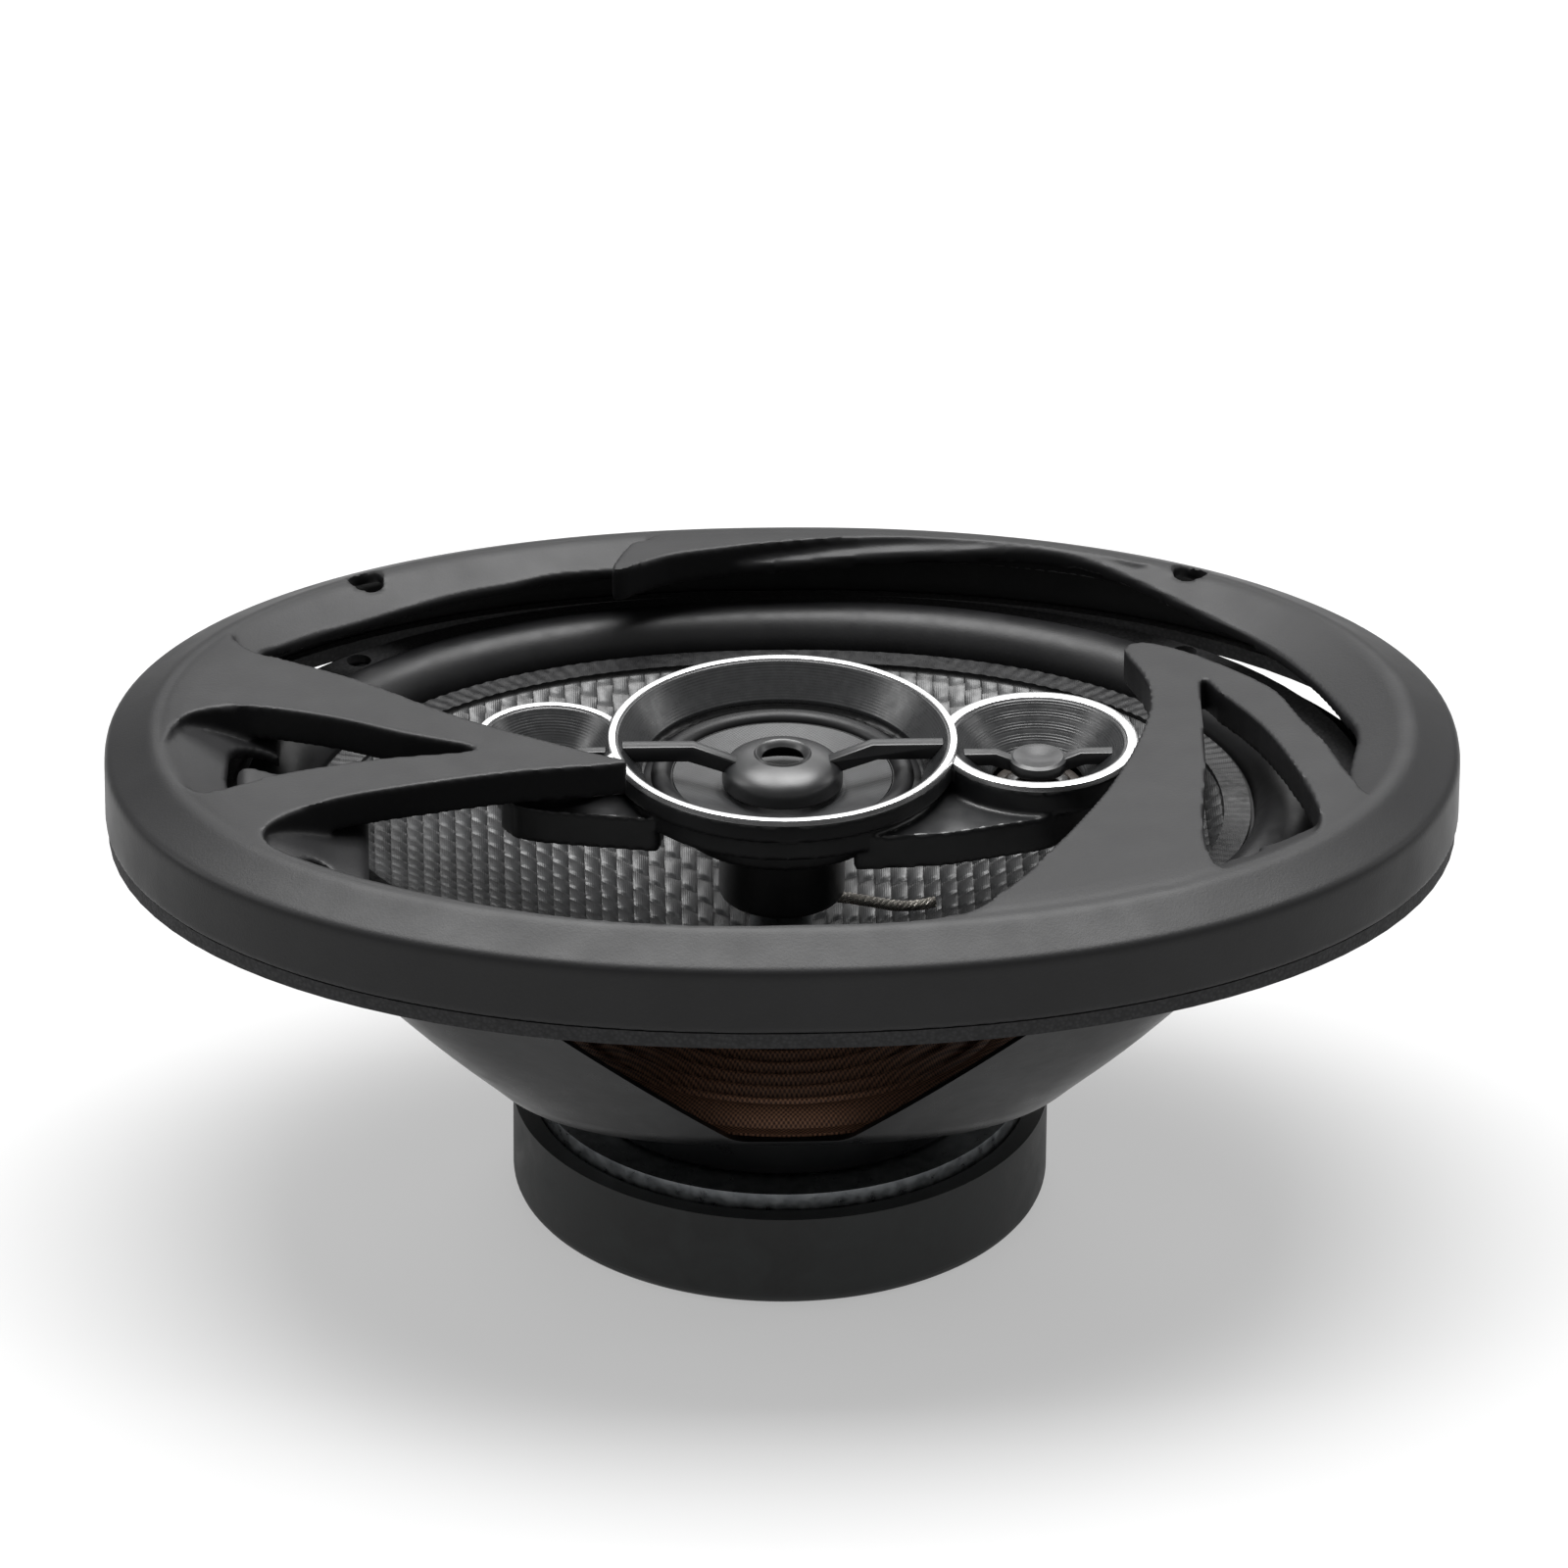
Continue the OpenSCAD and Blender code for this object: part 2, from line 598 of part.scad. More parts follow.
module midrange_magnet() color([0.75, 0.75, 0.77]) translate([0, 0, 79.22]) cylinder(h = 3, r = 7);

module at_tweeter_cut() outside_mid() at_tweeter() children();
module at_super_cut() outside_mid() at_super() children();

module tweeter_ring() color([0.85, 0.85, 0.86])
    at_tweeter_cut() band(tweeter_r, 16.9, tweeter_rim + 0.02, 1.2);

module super_tweeter_ring() color([0.85, 0.85, 0.86])
    at_super_cut() band(super_r, 12.9, super_rim + 0.02, 1.2);

module tweeter_flare() color([0.2, 0.2, 0.21]) at_tweeter_cut() spun([
    [8.6, 85.6], [9.8, 85.6], [16.8, 91.8], [16.8, tweeter_rim + 0.8],
    [16.4, tweeter_rim + 0.8], [8.6, 86.4]
]);

module super_tweeter_flare() color([0.2, 0.2, 0.21]) at_super_cut() spun([
    [6.6, 87.5], [7.6, 87.5], [12.8, 93.4], [12.8, super_rim + 0.8], [12.4, super_rim + 0.8], [6.6, 88.4]
]);

// small concave-topped cap on two arms, in front of a dome
module cap(r, low, high)
    spun([[0, low], [r * 0.7, low], [r, low + 1], [r, high - 0.6], [r * 0.8, high], [0, high - 1]]);

module tweeter_bridge() color([0.12, 0.12, 0.13]) outside_mid() at_tweeter() {
    inside_flare(8.5, 86.4, 16.3, tweeter_rim + 0.8) bridge_arm(17, 5, 8, 90, 91.7, 2.6, 2.6);
    cap(5.6, 87.2, 90.6);
}

module super_tweeter_bridge() color([0.12, 0.12, 0.13]) outside_mid() at_super() {
    inside_flare(6.5, 88.4, 12.3, super_rim + 0.8) bridge_arm(13, 3.5, 6, 92, 93, 2.2, 2.2);
    cap(4, 89.4, 92.4);
}

module dome(r, z, h) spun(concat(
    [for (t = [0 : 15 : 90]) [r * cos(t), z + h * sin(t)]],
    [for (t = [90 : -15 : 0]) [(r - 0.4) * cos(t), z + (h - 0.4) * sin(t)]]
));

module tweeter_dome() color([0.3, 0.3, 0.32]) at_tweeter() {
    dome(6.6, 84.4, 2.1);
    band(8.2, 6.55, 84.4, 0.3);
}
module tweeter_coil() color([0.72, 0.38, 0.2]) at_tweeter() band(6.5, 6.1, 82.6, 1.75);
module tweeter_magnet() color([0.75, 0.75, 0.77]) at_tweeter() translate([0, 0, 81.02]) {
    cylinder(h = 0.8, r = 9);
    cylinder(h = 2.6, r = 5.6);
}

module super_tweeter_dome() color([0.3, 0.3, 0.32]) at_super() {
    dome(4.8, 86.6, 1.6);
    band(6.2, 4.75, 86.6, 0.3);
}
module super_tweeter_coil() color([0.72, 0.38, 0.2]) at_super() band(4.7, 4.3, 84.8, 1.75);
module super_tweeter_magnet() color([0.75, 0.75, 0.77]) at_super() translate([0, 0, 83.42]) {
    cylinder(h = 0.7, r = 7);
    cylinder(h = 2.4, r = 3.8);
}

grille();
panel_gasket();
basket();
magnet_boot();
back_plate();
magnet();
top_plate();
centre_bolt();
centre_post();
basket_screws();
cone();
voice_coil_former();
voice_coil();
dust_seal();
spider();
surround();
front_gasket();
tinsel_leads();
terminal_board();
positive_tab();
negative_tab();
terminal_rivets();
midrange_capacitor();
tweeter_capacitor();
pod_housing();
pod_lead();
midrange_ring();
midrange_flare();
midrange_bridge();
midrange_cone();
midrange_surround();
midrange_coil();
midrange_yoke();
midrange_magnet();
tweeter_ring();
tweeter_flare();
tweeter_bridge();
tweeter_dome();
tweeter_coil();
tweeter_magnet();
super_tweeter_ring();
super_tweeter_flare();
super_tweeter_bridge();
super_tweeter_dome();
super_tweeter_coil();
super_tweeter_magnet();
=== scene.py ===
"""Looks of an oval coaxial car speaker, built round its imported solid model. Lengths are in millimetres."""
import math

import bmesh
import bpy
from mathutils import Matrix, Vector
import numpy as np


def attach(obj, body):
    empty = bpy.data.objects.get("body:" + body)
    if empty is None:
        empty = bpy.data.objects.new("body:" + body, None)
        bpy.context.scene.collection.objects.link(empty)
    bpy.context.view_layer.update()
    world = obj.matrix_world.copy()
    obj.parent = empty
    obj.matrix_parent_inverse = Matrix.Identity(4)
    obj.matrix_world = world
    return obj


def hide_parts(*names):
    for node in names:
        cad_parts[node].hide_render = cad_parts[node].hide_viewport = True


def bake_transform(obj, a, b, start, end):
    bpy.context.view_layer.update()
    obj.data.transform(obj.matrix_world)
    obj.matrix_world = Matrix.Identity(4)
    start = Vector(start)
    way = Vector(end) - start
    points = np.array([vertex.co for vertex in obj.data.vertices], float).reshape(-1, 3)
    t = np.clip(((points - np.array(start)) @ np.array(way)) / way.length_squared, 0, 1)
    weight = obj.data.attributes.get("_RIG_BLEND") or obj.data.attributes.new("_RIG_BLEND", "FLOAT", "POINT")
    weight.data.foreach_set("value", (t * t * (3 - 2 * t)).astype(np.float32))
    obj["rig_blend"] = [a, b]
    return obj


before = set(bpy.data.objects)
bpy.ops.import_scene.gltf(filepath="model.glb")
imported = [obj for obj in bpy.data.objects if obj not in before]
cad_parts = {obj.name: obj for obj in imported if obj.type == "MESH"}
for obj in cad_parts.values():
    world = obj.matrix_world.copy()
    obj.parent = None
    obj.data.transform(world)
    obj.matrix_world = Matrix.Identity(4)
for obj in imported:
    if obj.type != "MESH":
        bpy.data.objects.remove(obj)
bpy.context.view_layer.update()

MM = 0.001
TAU = 2 * math.pi

# driving sizes, as in the part's source
BEZEL_A, BEZEL_B, OVAL = 128.5, 88.5, 2.14     # half length, half width and exponent of the grille's oval
SKIRT_Z, CREST_Z = 80.7, 100                   # lower edge and crest of the grille
FLANGE_Z, SHEET = 77.8, 1.4                    # underside of the basket's flange, and its sheet
PLATEAU_Z, SEAT_Z = 36, 22.4                   # where the spider and the magnet meet the basket
FOOT_Z = FLANGE_Z + SHEET
HOLE_X, HOLE_Y = 80, 58
CONE_A, CONE_B, CONE_Z, EDGE_W = 89, 63, 80.2, 5    # outline and height of the cone's edge, and its width
NECK_R, NECK_Z, PAPER = 15.6, 43.6, 0.8        # the cone's neck and its thickness
ROLL_W, ROLL_H, RUBBER = 13.4, 6.8, 0.6        # width, height and thickness of the surround's half roll
MID_R, TWEETER_R, TWEETER_X, SUPER_R, SUPER_X = 33.1, 19, 48.5, 14.3, -44
MID_RIM, TWEETER_RIM, SUPER_RIM = 94, 93, 94.5
TOW_W, TOW_L = 3.1, 3.9                        # width and length of one raised cell of the cone's weave
EDGE_RIBS, RIB_H = 190, 0.14                   # fine ribs round the cone's glued edge, and their height
WELD = 0.002                                   # points closer than this are one
RING_PITCH = 0.314                             # ring spacing of the wave texture at scale 1


# ---------------------------------------------------------------- making pieces
def rest():
    """Object mode, with nothing selected."""
    if bpy.context.object and bpy.context.object.mode != "OBJECT":
        bpy.ops.object.mode_set(mode="OBJECT")
    bpy.ops.object.select_all(action="DESELECT")


def take(piece):
    """Makes one piece the only selected and the active one."""
    rest()
    piece.select_set(True)
    bpy.context.view_layer.objects.active = piece


def shaping(piece):
    """Goes into edit mode on a piece and gives its mesh."""
    take(piece)
    bpy.ops.object.mode_set(mode="EDIT")
    return bmesh.from_edit_mesh(piece.data)


def closed_up(piece):
    """Merges doubles, turns the faces outward and goes back to object mode."""
    bpy.ops.mesh.select_all(action="SELECT")
    bpy.ops.mesh.remove_doubles(threshold=WELD * MM)
    bpy.ops.mesh.normals_make_consistent(inside=False)
    bpy.ops.object.mode_set(mode="OBJECT")
    return piece


def modify(piece, kind, **settings):
    """Adds one modifier and applies it."""
    take(piece)
    modifier = piece.modifiers.new(kind.title(), kind)
    for key, value in settings.items():
        setattr(modifier, key, value)
    bpy.ops.object.modifier_apply(modifier=modifier.name)
    return piece


def softened(piece, width, segments=2, angle=35):
    return modify(piece, "BEVEL", width=width * MM, segments=segments, limit_method="ANGLE",
                  angle_limit=math.radians(angle), use_clamp_overlap=True)


def joined(piece, others):
    """Puts closed parts that overlap into one object, for remeshed() to make one skin of."""
    take(piece)
    for other in others:
        other.select_set(True)
    bpy.ops.object.join()
    return piece


def shaded(piece, angle=35):
    take(piece)
    bpy.ops.object.shade_smooth_by_angle(angle=math.radians(angle))
    return piece


def combine(piece, others, operation):
    for other in others:
        modify(piece, "BOOLEAN", operation=operation, object=other, solver="EXACT")
        bpy.data.objects.remove(other)
    return piece


def cut(piece, *cutters):
    return combine(piece, cutters, "DIFFERENCE")


def united(piece, *others):
    return combine(piece, others, "UNION")


def smooth_outline(corners, per=4):
    """A closed curve through the corners, with a few points between each pair."""
    count, curve = len(corners), []
    for i in range(count):
        a, b, c, d = (Vector(corners[(i + k) % count]) for k in (-1, 0, 1, 2))
        for s in range(per):
            t = s / per
            curve.append(tuple(0.5 * (2 * b + (c - a) * t + (2 * a - 5 * b + 4 * c - d) * t * t
                                      + (3 * b - a - 3 * c + d) * t ** 3)))
    return curve


def flat(u, v, w):
    return (u, v, w)


def plate(name, outline, low, high, place=flat):
    """A slab of the outline from low to high, laid the way that place says."""
    rest()
    bpy.ops.mesh.primitive_circle_add(vertices=len(outline), radius=0.1)
    piece = bpy.context.object
    piece.name = name
    bpy.ops.object.mode_set(mode="EDIT")
    bm = bmesh.from_edit_mesh(piece.data)
    order = bm.verts.layers.int.new("order")
    for i, vert in enumerate(bm.verts):
        vert[order] = i
    bm.verts.ensure_lookup_table()
    for vert, (u, v) in zip(bm.verts, outline):
        vert.co = Vector(place(u, v, low)) * MM
    bmesh.update_edit_mesh(piece.data)
    bpy.ops.mesh.edge_face_add()
    bpy.ops.mesh.extrude_region_move(TRANSFORM_OT_translate={"value": (0, 0, 0)})
    bm = bmesh.from_edit_mesh(piece.data)
    order = bm.verts.layers.int["order"]
    for vert in bm.verts:
        if vert.select:
            vert.co = Vector(place(*outline[vert[order]], high)) * MM
    bmesh.update_edit_mesh(piece.data)
    return closed_up(piece)


def upright_x(u, v, w):
    """Puts an outline drawn in X and Z into the world, with its thickness along Y."""
    return (u, w, v)


def upright_y(u, v, w):
    """Puts an outline drawn in Y and Z into the world, with its thickness along X."""
    return (w, u, v)


def spun(name, profile, centre_x=0.0, steps=128):
    """Turns a closed outline of (radius, height) points about an upright axis."""
    rest()
    bpy.ops.mesh.primitive_circle_add(vertices=len(profile), radius=0.1)
    piece = bpy.context.object
    piece.name = name
    bpy.ops.object.mode_set(mode="EDIT")
    bm = bmesh.from_edit_mesh(piece.data)
    bm.verts.ensure_lookup_table()
    for vert, (r, z) in zip(bm.verts, profile):
        vert.co = Vector((centre_x + r, 0, z)) * MM
    on_axis = [e for e in bm.edges if all(abs(v.co.x - centre_x * MM) < 1e-7 for v in e.verts)]
    bmesh.ops.delete(bm, geom=on_axis, context="EDGES")
    bmesh.update_edit_mesh(piece.data)
    bpy.ops.mesh.select_all(action="SELECT")
    bpy.ops.mesh.spin(steps=steps, angle=TAU, center=(centre_x * MM, 0, 0), axis=(0, 0, 1))
    return closed_up(piece)


def oval_point(turn, a, b, n, z):
    """Point at an angle on an oval of half length a, half width b and exponent n, at height z."""
    c, s = math.cos(turn), math.sin(turn)
    x, y = math.copysign(a * abs(c) ** (2 / n), c), math.copysign(b * abs(s) ** (2 / n), s)
    return Vector((x, y, z)) * MM


def loft(name, rows, steps=240, ring=True):
    """Ovals joined row by row; a ring runs back to its first row, a solid is closed by its end faces."""
    rest()
    bpy.ops.mesh.primitive_circle_add(vertices=steps, radius=0.1)
    piece = bpy.context.object
    piece.name = name
    bpy.ops.object.mode_set(mode="EDIT")
    bm = bmesh.from_edit_mesh(piece.data)
    turn = bm.verts.layers.float.new("turn")
    bm.verts.ensure_lookup_table()
    for i, vert in enumerate(bm.verts):
        vert[turn] = TAU * i / steps
    for j, row in enumerate(rows + rows[:1] if ring else rows):
        if j:
            bpy.ops.mesh.extrude_region_move(TRANSFORM_OT_translate={"value": (0, 0, 0)})
            bm = bmesh.from_edit_mesh(piece.data)
            turn = bm.verts.layers.float["turn"]
        bm.verts.ensure_lookup_table()
        count = len(bm.verts)
        for vert in bm.verts[count - steps:count]:
            vert.co = oval_point(vert[turn], *row)
        bmesh.update_edit_mesh(piece.data)
    if not ring:
        bpy.ops.mesh.select_all(action="SELECT")
        bpy.ops.mesh.fill_holes(sides=0)
    return closed_up(piece)


def peg(name, x, y, r, low, high, steps=32):
    """An upright cutter for a round hole, set off the axis."""
    return plate(name, [(x + r * math.cos(TAU * i / steps), y + r * math.sin(TAU * i / steps))
                        for i in range(steps)], low, high)


def remeshed(piece, voxel, rounds, most):
    """One skin over joined solids, with its edges worn round, thinned to a set number of triangles."""
    modify(piece, "REMESH", mode="VOXEL", voxel_size=voxel * MM, adaptivity=0.0, use_smooth_shade=True)
    modify(piece, "SMOOTH", factor=0.5, iterations=rounds)
    triangles = 2 * len(piece.data.polygons)
    if triangles > most:
        modify(piece, "DECIMATE", ratio=most / triangles)
    return shaded(piece, 50)


def wearing(piece, material, body, slot, *nodes):
    """Gives a piece its finish and the body it rides on, and hides the nodes it stands for; its slot is not
    used.
    """
    piece.data.materials.clear()
    piece.data.materials.append(material)
    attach(piece, body)
    dressed(piece, slot, *nodes)
    return piece


def dressed(piece, slot, *nodes):
    """Hides the nodes that a piece stands for; its slot is not used."""
    if nodes:
        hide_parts(*nodes)


# ---------------------------------------------------------------- finishes
def linear(hex_colour):
    """An sRGB hex colour as linear red, green, blue and alpha."""
    parts = [int(hex_colour[i:i + 2], 16) / 255 for i in (1, 3, 5)]
    return tuple(p / 12.92 if p <= 0.04045 else ((p + 0.055) / 1.055) ** 2.4 for p in parts) + (1.0,)


def node(tree, kind, inputs=None, **settings):
    """Adds a node with its settings, its values and the links into it."""
    made = tree.nodes.new(kind)
    for key, value in settings.items():
        setattr(made, key, value)
    for key, value in (inputs or {}).items():
        if isinstance(value, bpy.types.NodeSocket):
            tree.links.new(value, made.inputs[key])
        else:
            made.inputs[key].default_value = value
    return made


def start(name, roughness, shift=(0, 0, 0), **sockets):
    """A new finish: its node tree, its shader, and object coordinates in millimetres."""
    material = bpy.data.materials.new(name)
    material.use_nodes = True
    tree = material.node_tree
    shader = tree.nodes["Principled BSDF"]
    shader.inputs["Roughness"].default_value = roughness
    for key, value in sockets.items():
        shader.inputs[key.replace("_", " ")].default_value = value
    where = node(tree, "ShaderNodeTexCoord")
    place = node(tree, "ShaderNodeMapping", {0: where.outputs["Object"], "Location": shift,
                                             "Scale": (1000, 1000, 1000)})
    return material, tree, shader, place.outputs[0]


def grain(tree, place, size, detail=2.0, distortion=0.0):
    """Noise whose lumps are about size millimetres across."""
    return node(tree, "ShaderNodeTexNoise", {"Vector": place, "Scale": 1 / size, "Detail": detail,
                                             "Distortion": distortion}).outputs[0]


def maths(tree, operation, a, b=0.0):
    return node(tree, "ShaderNodeMath", {0: a, 1: b}, operation=operation).outputs[0]


def tinted(tree, shader, factor, low, high, at=(0.3, 0.7)):
    """Colours the surface from low to high as factor goes between the two stops."""
    ramp = node(tree, "ShaderNodeValToRGB", {0: factor})
    for stop, position, colour in zip(ramp.color_ramp.elements, at, (low, high)):
        stop.position, stop.color = position, linear(colour)
    tree.links.new(ramp.outputs[0], shader.inputs["Base Color"])


def polish(tree, shader, factor, low, high):
    """Varies the roughness from low to high."""
    spread = node(tree, "ShaderNodeMapRange", {0: factor, 1: 0.3, 2: 0.7, 3: low, 4: high})
    tree.links.new(spread.outputs[0], shader.inputs["Roughness"])


def relief(tree, shader, height, depth, strength=1.0, under=None):
    """Raises the surface by up to depth millimetres where height is 1."""
    inputs = {"Height": height, "Distance": depth * MM, "Strength": strength}
    if under:
        inputs["Normal"] = under
    bump = node(tree, "ShaderNodeBump", inputs).outputs[0]
    tree.links.new(bump, shader.inputs["Normal"])
    return bump


def turned(tree, place, pitch):
    """Fine rings about the upright axis, as a lathe tool leaves them."""
    return node(tree, "ShaderNodeTexWave", {"Vector": place, "Scale": RING_PITCH / pitch, "Distortion": 0.5,
                                            "Detail": 0.6, "Detail Scale": 2.0},
                wave_type="RINGS", rings_direction="Z").outputs[1]


def moulded_abs():
    # ABS moulded in a spark-eroded tool: satin black with a fine even grain that breaks up highlights
    material, tree, shader, place = start("moulded ABS", 0.46, IOR=1.53)
    shader.inputs["Specular IOR Level"].default_value = 0.24
    tinted(tree, shader, grain(tree, place, 30), "#111112", "#141415")
    polish(tree, shader, grain(tree, place, 9, 3), 0.43, 0.5)
    fine = relief(tree, shader, grain(tree, place, 0.7, 1), 0.03, 0.6)
    relief(tree, shader, grain(tree, place, 0.35, 0), 0.012, 0.7, fine)
    return material


def pod_abs():
    # ABS off a smoother tool: the pod and its arms are a little glossier and deeper black
    material, tree, shader, place = start("smooth moulded ABS", 0.36, IOR=1.53)
    tinted(tree, shader, grain(tree, place, 12), "#121213", "#18191a")
    polish(tree, shader, grain(tree, place, 5, 3), 0.32, 0.42)
    relief(tree, shader, grain(tree, place, 0.5, 1), 0.015, 0.5)
    return material


def spun_lacquer(name, centre_x):
    # black lacquer over a spun flare: turned rings stretch each light into a soft upright streak, and each
    # ring is painted a touch lighter on its crest than in its groove as a painted sheen
    material, tree, shader, place = start(name, 0.3, (-centre_x, 0, 0), IOR=1.5)
    rings = turned(tree, place, 0.35)
    # painted sheen: the colour alternates lighter and darker with the turned rings
    tinted(tree, shader, rings, "#151516", "#1f2021")
    polish(tree, shader, grain(tree, place, 2, 2), 0.24, 0.36)
    relief(tree, shader, rings, 0.02, 0.6)
    return material


def bright_trim():
    # bright plated ABS: near-white satin metal with faint turning marks
    material, tree, shader, place = start("satin plated ABS", 0.26, Metallic=0.85)
    tinted(tree, shader, grain(tree, place, 6), "#c9c9ca", "#dadada")
    relief(tree, shader, turned(tree, place, 0.4), 0.01, 0.4)
    return material


def woven_cone():
    # woven fibre set in resin and pressed: dark overlapping tows in a slanting weave, each tow's colour
    # painted lighter where it stands highest, a painted sheen
    material, tree, shader, place = start("resin-set woven fibre", 0.4, IOR=1.5)
    parts = node(tree, "ShaderNodeSeparateXYZ", {0: place}).outputs
    across = maths(tree, "DIVIDE", parts[0], TOW_W)
    column = maths(tree, "FLOOR", across)
    along = maths(tree, "ADD", maths(tree, "DIVIDE", parts[1], TOW_L), maths(tree, "DIVIDE", column, 3.0))
    threads = maths(tree, "SINE", maths(tree, "MULTIPLY", parts[0], TAU / 0.4))
    arch = maths(tree, "SINE", maths(tree, "MULTIPLY", maths(tree, "FRACT", across), math.pi))
    crown = maths(tree, "POWER", arch, 0.5)
    tow = maths(tree, "MULTIPLY", maths(tree, "SUBTRACT", 1.0, maths(tree, "FRACT", along)), crown)
    below_edge = maths(tree, "LESS_THAN", parts[2], CONE_Z - 0.9)   # the glued edge shows no weave
    tow = maths(tree, "MULTIPLY", tow, below_edge)
    # painted sheen: the colour runs from dark to light with each tow's height
    tinted(tree, shader, tow, "#0e0e0f", "#242526", (0.1, 0.8))
    polish(tree, shader, grain(tree, place, 1.5, 2), 0.34, 0.5)
    fine = relief(tree, shader, threads, 0.02, 0.4)
    relief(tree, shader, tow, 0.55, 0.9, fine)
    return material


def butyl():
    # butyl rubber: soft satin black, a slight bloom and a fine pebble
    material, tree, shader, place = start("butyl rubber", 0.42, IOR=1.52)
    shader.inputs["Specular IOR Level"].default_value = 0.24
    tinted(tree, shader, grain(tree, place, 14, 3), "#0d0d0e", "#131314")
    polish(tree, shader, grain(tree, place, 4, 3), 0.38, 0.48)
    relief(tree, shader, grain(tree, place, 0.6, 2), 0.03, 0.5)
    return material


def boot_rubber():
    # natural rubber boot: matte, mottled where it has been handled, with faint scuffs
    material, tree, shader, place = start("natural rubber", 0.6, IOR=1.52)
    shader.inputs["Specular IOR Level"].default_value = 0.35
    blotches = grain(tree, place, 9, 5, 0.6)
    tinted(tree, shader, blotches, "#151616", "#242626", (0.38, 0.66))
    polish(tree, shader, blotches, 0.5, 0.7)
    relief(tree, shader, grain(tree, place, 0.8, 4), 0.05, 0.5)
    return material


def painted_steel():
    # pressed steel under black powder paint: semi-gloss with a slight orange peel
    material, tree, shader, place = start("powder-painted steel", 0.3, IOR=1.5)
    shader.inputs["Specular IOR Level"].default_value = 0.25
    shader.inputs["Coat Weight"].default_value = 0.06
    shader.inputs["Coat Roughness"].default_value = 0.2
    tinted(tree, shader, grain(tree, place, 20, 2), "#0a0a0b", "#101112")
    polish(tree, shader, grain(tree, place, 6, 3), 0.26, 0.36)
    relief(tree, shader, grain(tree, place, 2.2, 1), 0.04, 0.5)
    return material


def spider_cloth():
    # phenolic-dipped cotton: brown open weave, its thread crowns painted lighter than the hollows as painted
    # highlight and shade, matte with a faint resin shine
    material, tree, shader, place = start("phenolic-dipped cotton", 0.62, IOR=1.5)
    parts = node(tree, "ShaderNodeSeparateXYZ", {0: place}).outputs
    pitch = 0.9   # threads are drawn at about twice their real spacing, so that they show
    warp = maths(tree, "SINE", maths(tree, "MULTIPLY", parts[0], TAU / pitch))
    weft = maths(tree, "SINE", maths(tree, "MULTIPLY", parts[1], TAU / pitch))
    weave = maths(tree, "MULTIPLY_ADD", maths(tree, "MULTIPLY", warp, weft), 0.5)
    # painted highlight and shade: the brown goes lighter on each thread crown and darker in the hollows
    tinted(tree, shader, weave, "#4a3226", "#a0755a", (0.25, 0.8))
    relief(tree, shader, weave, 0.12, 0.7)
    return material


def zinc_steel():
    # zinc-plated steel: pale grey, faintly spangled and brushed by turning
    material, tree, shader, place = start("zinc-plated steel", 0.34, Metallic=1.0)
    tinted(tree, shader, grain(tree, place, 3, 3), "#6f7275", "#8b8e90")
    polish(tree, shader, grain(tree, place, 1.5, 3), 0.26, 0.44)
    relief(tree, shader, turned(tree, place, 0.5), 0.02, 0.4)
    return material


def ferrite():
    # sintered ferrite: dull charcoal with a coarse ground face and tiny pits
    material, tree, shader, place = start("sintered ferrite", 0.7, IOR=2.4)
    shader.inputs["Specular IOR Level"].default_value = 0.3
    tinted(tree, shader, grain(tree, place, 1.2, 4), "#222324", "#303132")
    relief(tree, shader, grain(tree, place, 0.5, 4), 0.06, 0.6)
    return material


def enamelled_copper():
    # enamelled copper wire: warm orange turns, each catching a thin line of light
    material, tree, shader, place = start("enamelled copper wire", 0.3, Metallic=1.0)
    parts = node(tree, "ShaderNodeSeparateXYZ", {0: place}).outputs
    turns = maths(tree, "SINE", maths(tree, "MULTIPLY", parts[2], TAU / 0.5))
    tinted(tree, shader, turns, "#8c4524", "#c8703d", (0.2, 0.8))
    relief(tree, shader, turns, 0.1, 0.8)
    return material


def polyimide():
    # polyimide film: amber and glossy with a faint roll direction
    material, tree, shader, place = start("polyimide film", 0.25, IOR=1.7)
    tinted(tree, shader, grain(tree, place, 8, 2), "#8a5a1e", "#a8712b")
    relief(tree, shader, grain(tree, place, 1.0, 2), 0.01, 0.4)
    return material


def tinned_braid():
    # tinned copper braid: silvery, with painted shade in the gaps between the fine wires
    material, tree, shader, place = start("tinned copper braid", 0.32, Metallic=0.9)
    settings = {"Vector": place, "Scale": 1.4, "Distortion": 1.5, "Detail": 1.0}
    strands = node(tree, "ShaderNodeTexWave", settings, bands_direction="DIAGONAL").outputs[1]
    # painted shade: the colour drops to dark grey between the strands
    tinted(tree, shader, strands, "#6c675f", "#d8d3ca")
    relief(tree, shader, strands, 0.08, 0.8)
    return material


def phenolic_board():
    # phenolic paper board: dark tan, slightly fibrous, satin
    material, tree, shader, place = start("phenolic paper board", 0.45, IOR=1.6)
    fibres = node(tree, "ShaderNodeMapping", {0: place, "Scale": (0.15, 1, 1)}).outputs[0]
    tinted(tree, shader, grain(tree, fibres, 0.6, 4), "#4d3319", "#694723")
    relief(tree, shader, grain(tree, fibres, 0.5, 3), 0.02, 0.5)
    return material


def tinned_brass():
    # tin-plated brass: soft silver with a faint warm cast where the plate is thin
    material, tree, shader, place = start("tin-plated brass", 0.28, Metallic=1.0)
    tinted(tree, shader, grain(tree, place, 2.5, 4), "#b9b7b0", "#d3cfc2")
    polish(tree, shader, grain(tree, place, 1, 3), 0.22, 0.38)
    relief(tree, shader, grain(tree, place, 0.5, 2), 0.015, 0.4)
    return material


def shrunk_sleeve(name, low, high):
    # PVC sleeve shrunk on a capacitor: smooth and semi-gloss with faint puckers
    material, tree, shader, place = start(name, 0.3, IOR=1.54)
    tinted(tree, shader, grain(tree, place, 4, 2), low, high)
    relief(tree, shader, grain(tree, place, 2, 2), 0.05, 0.4)
    return material


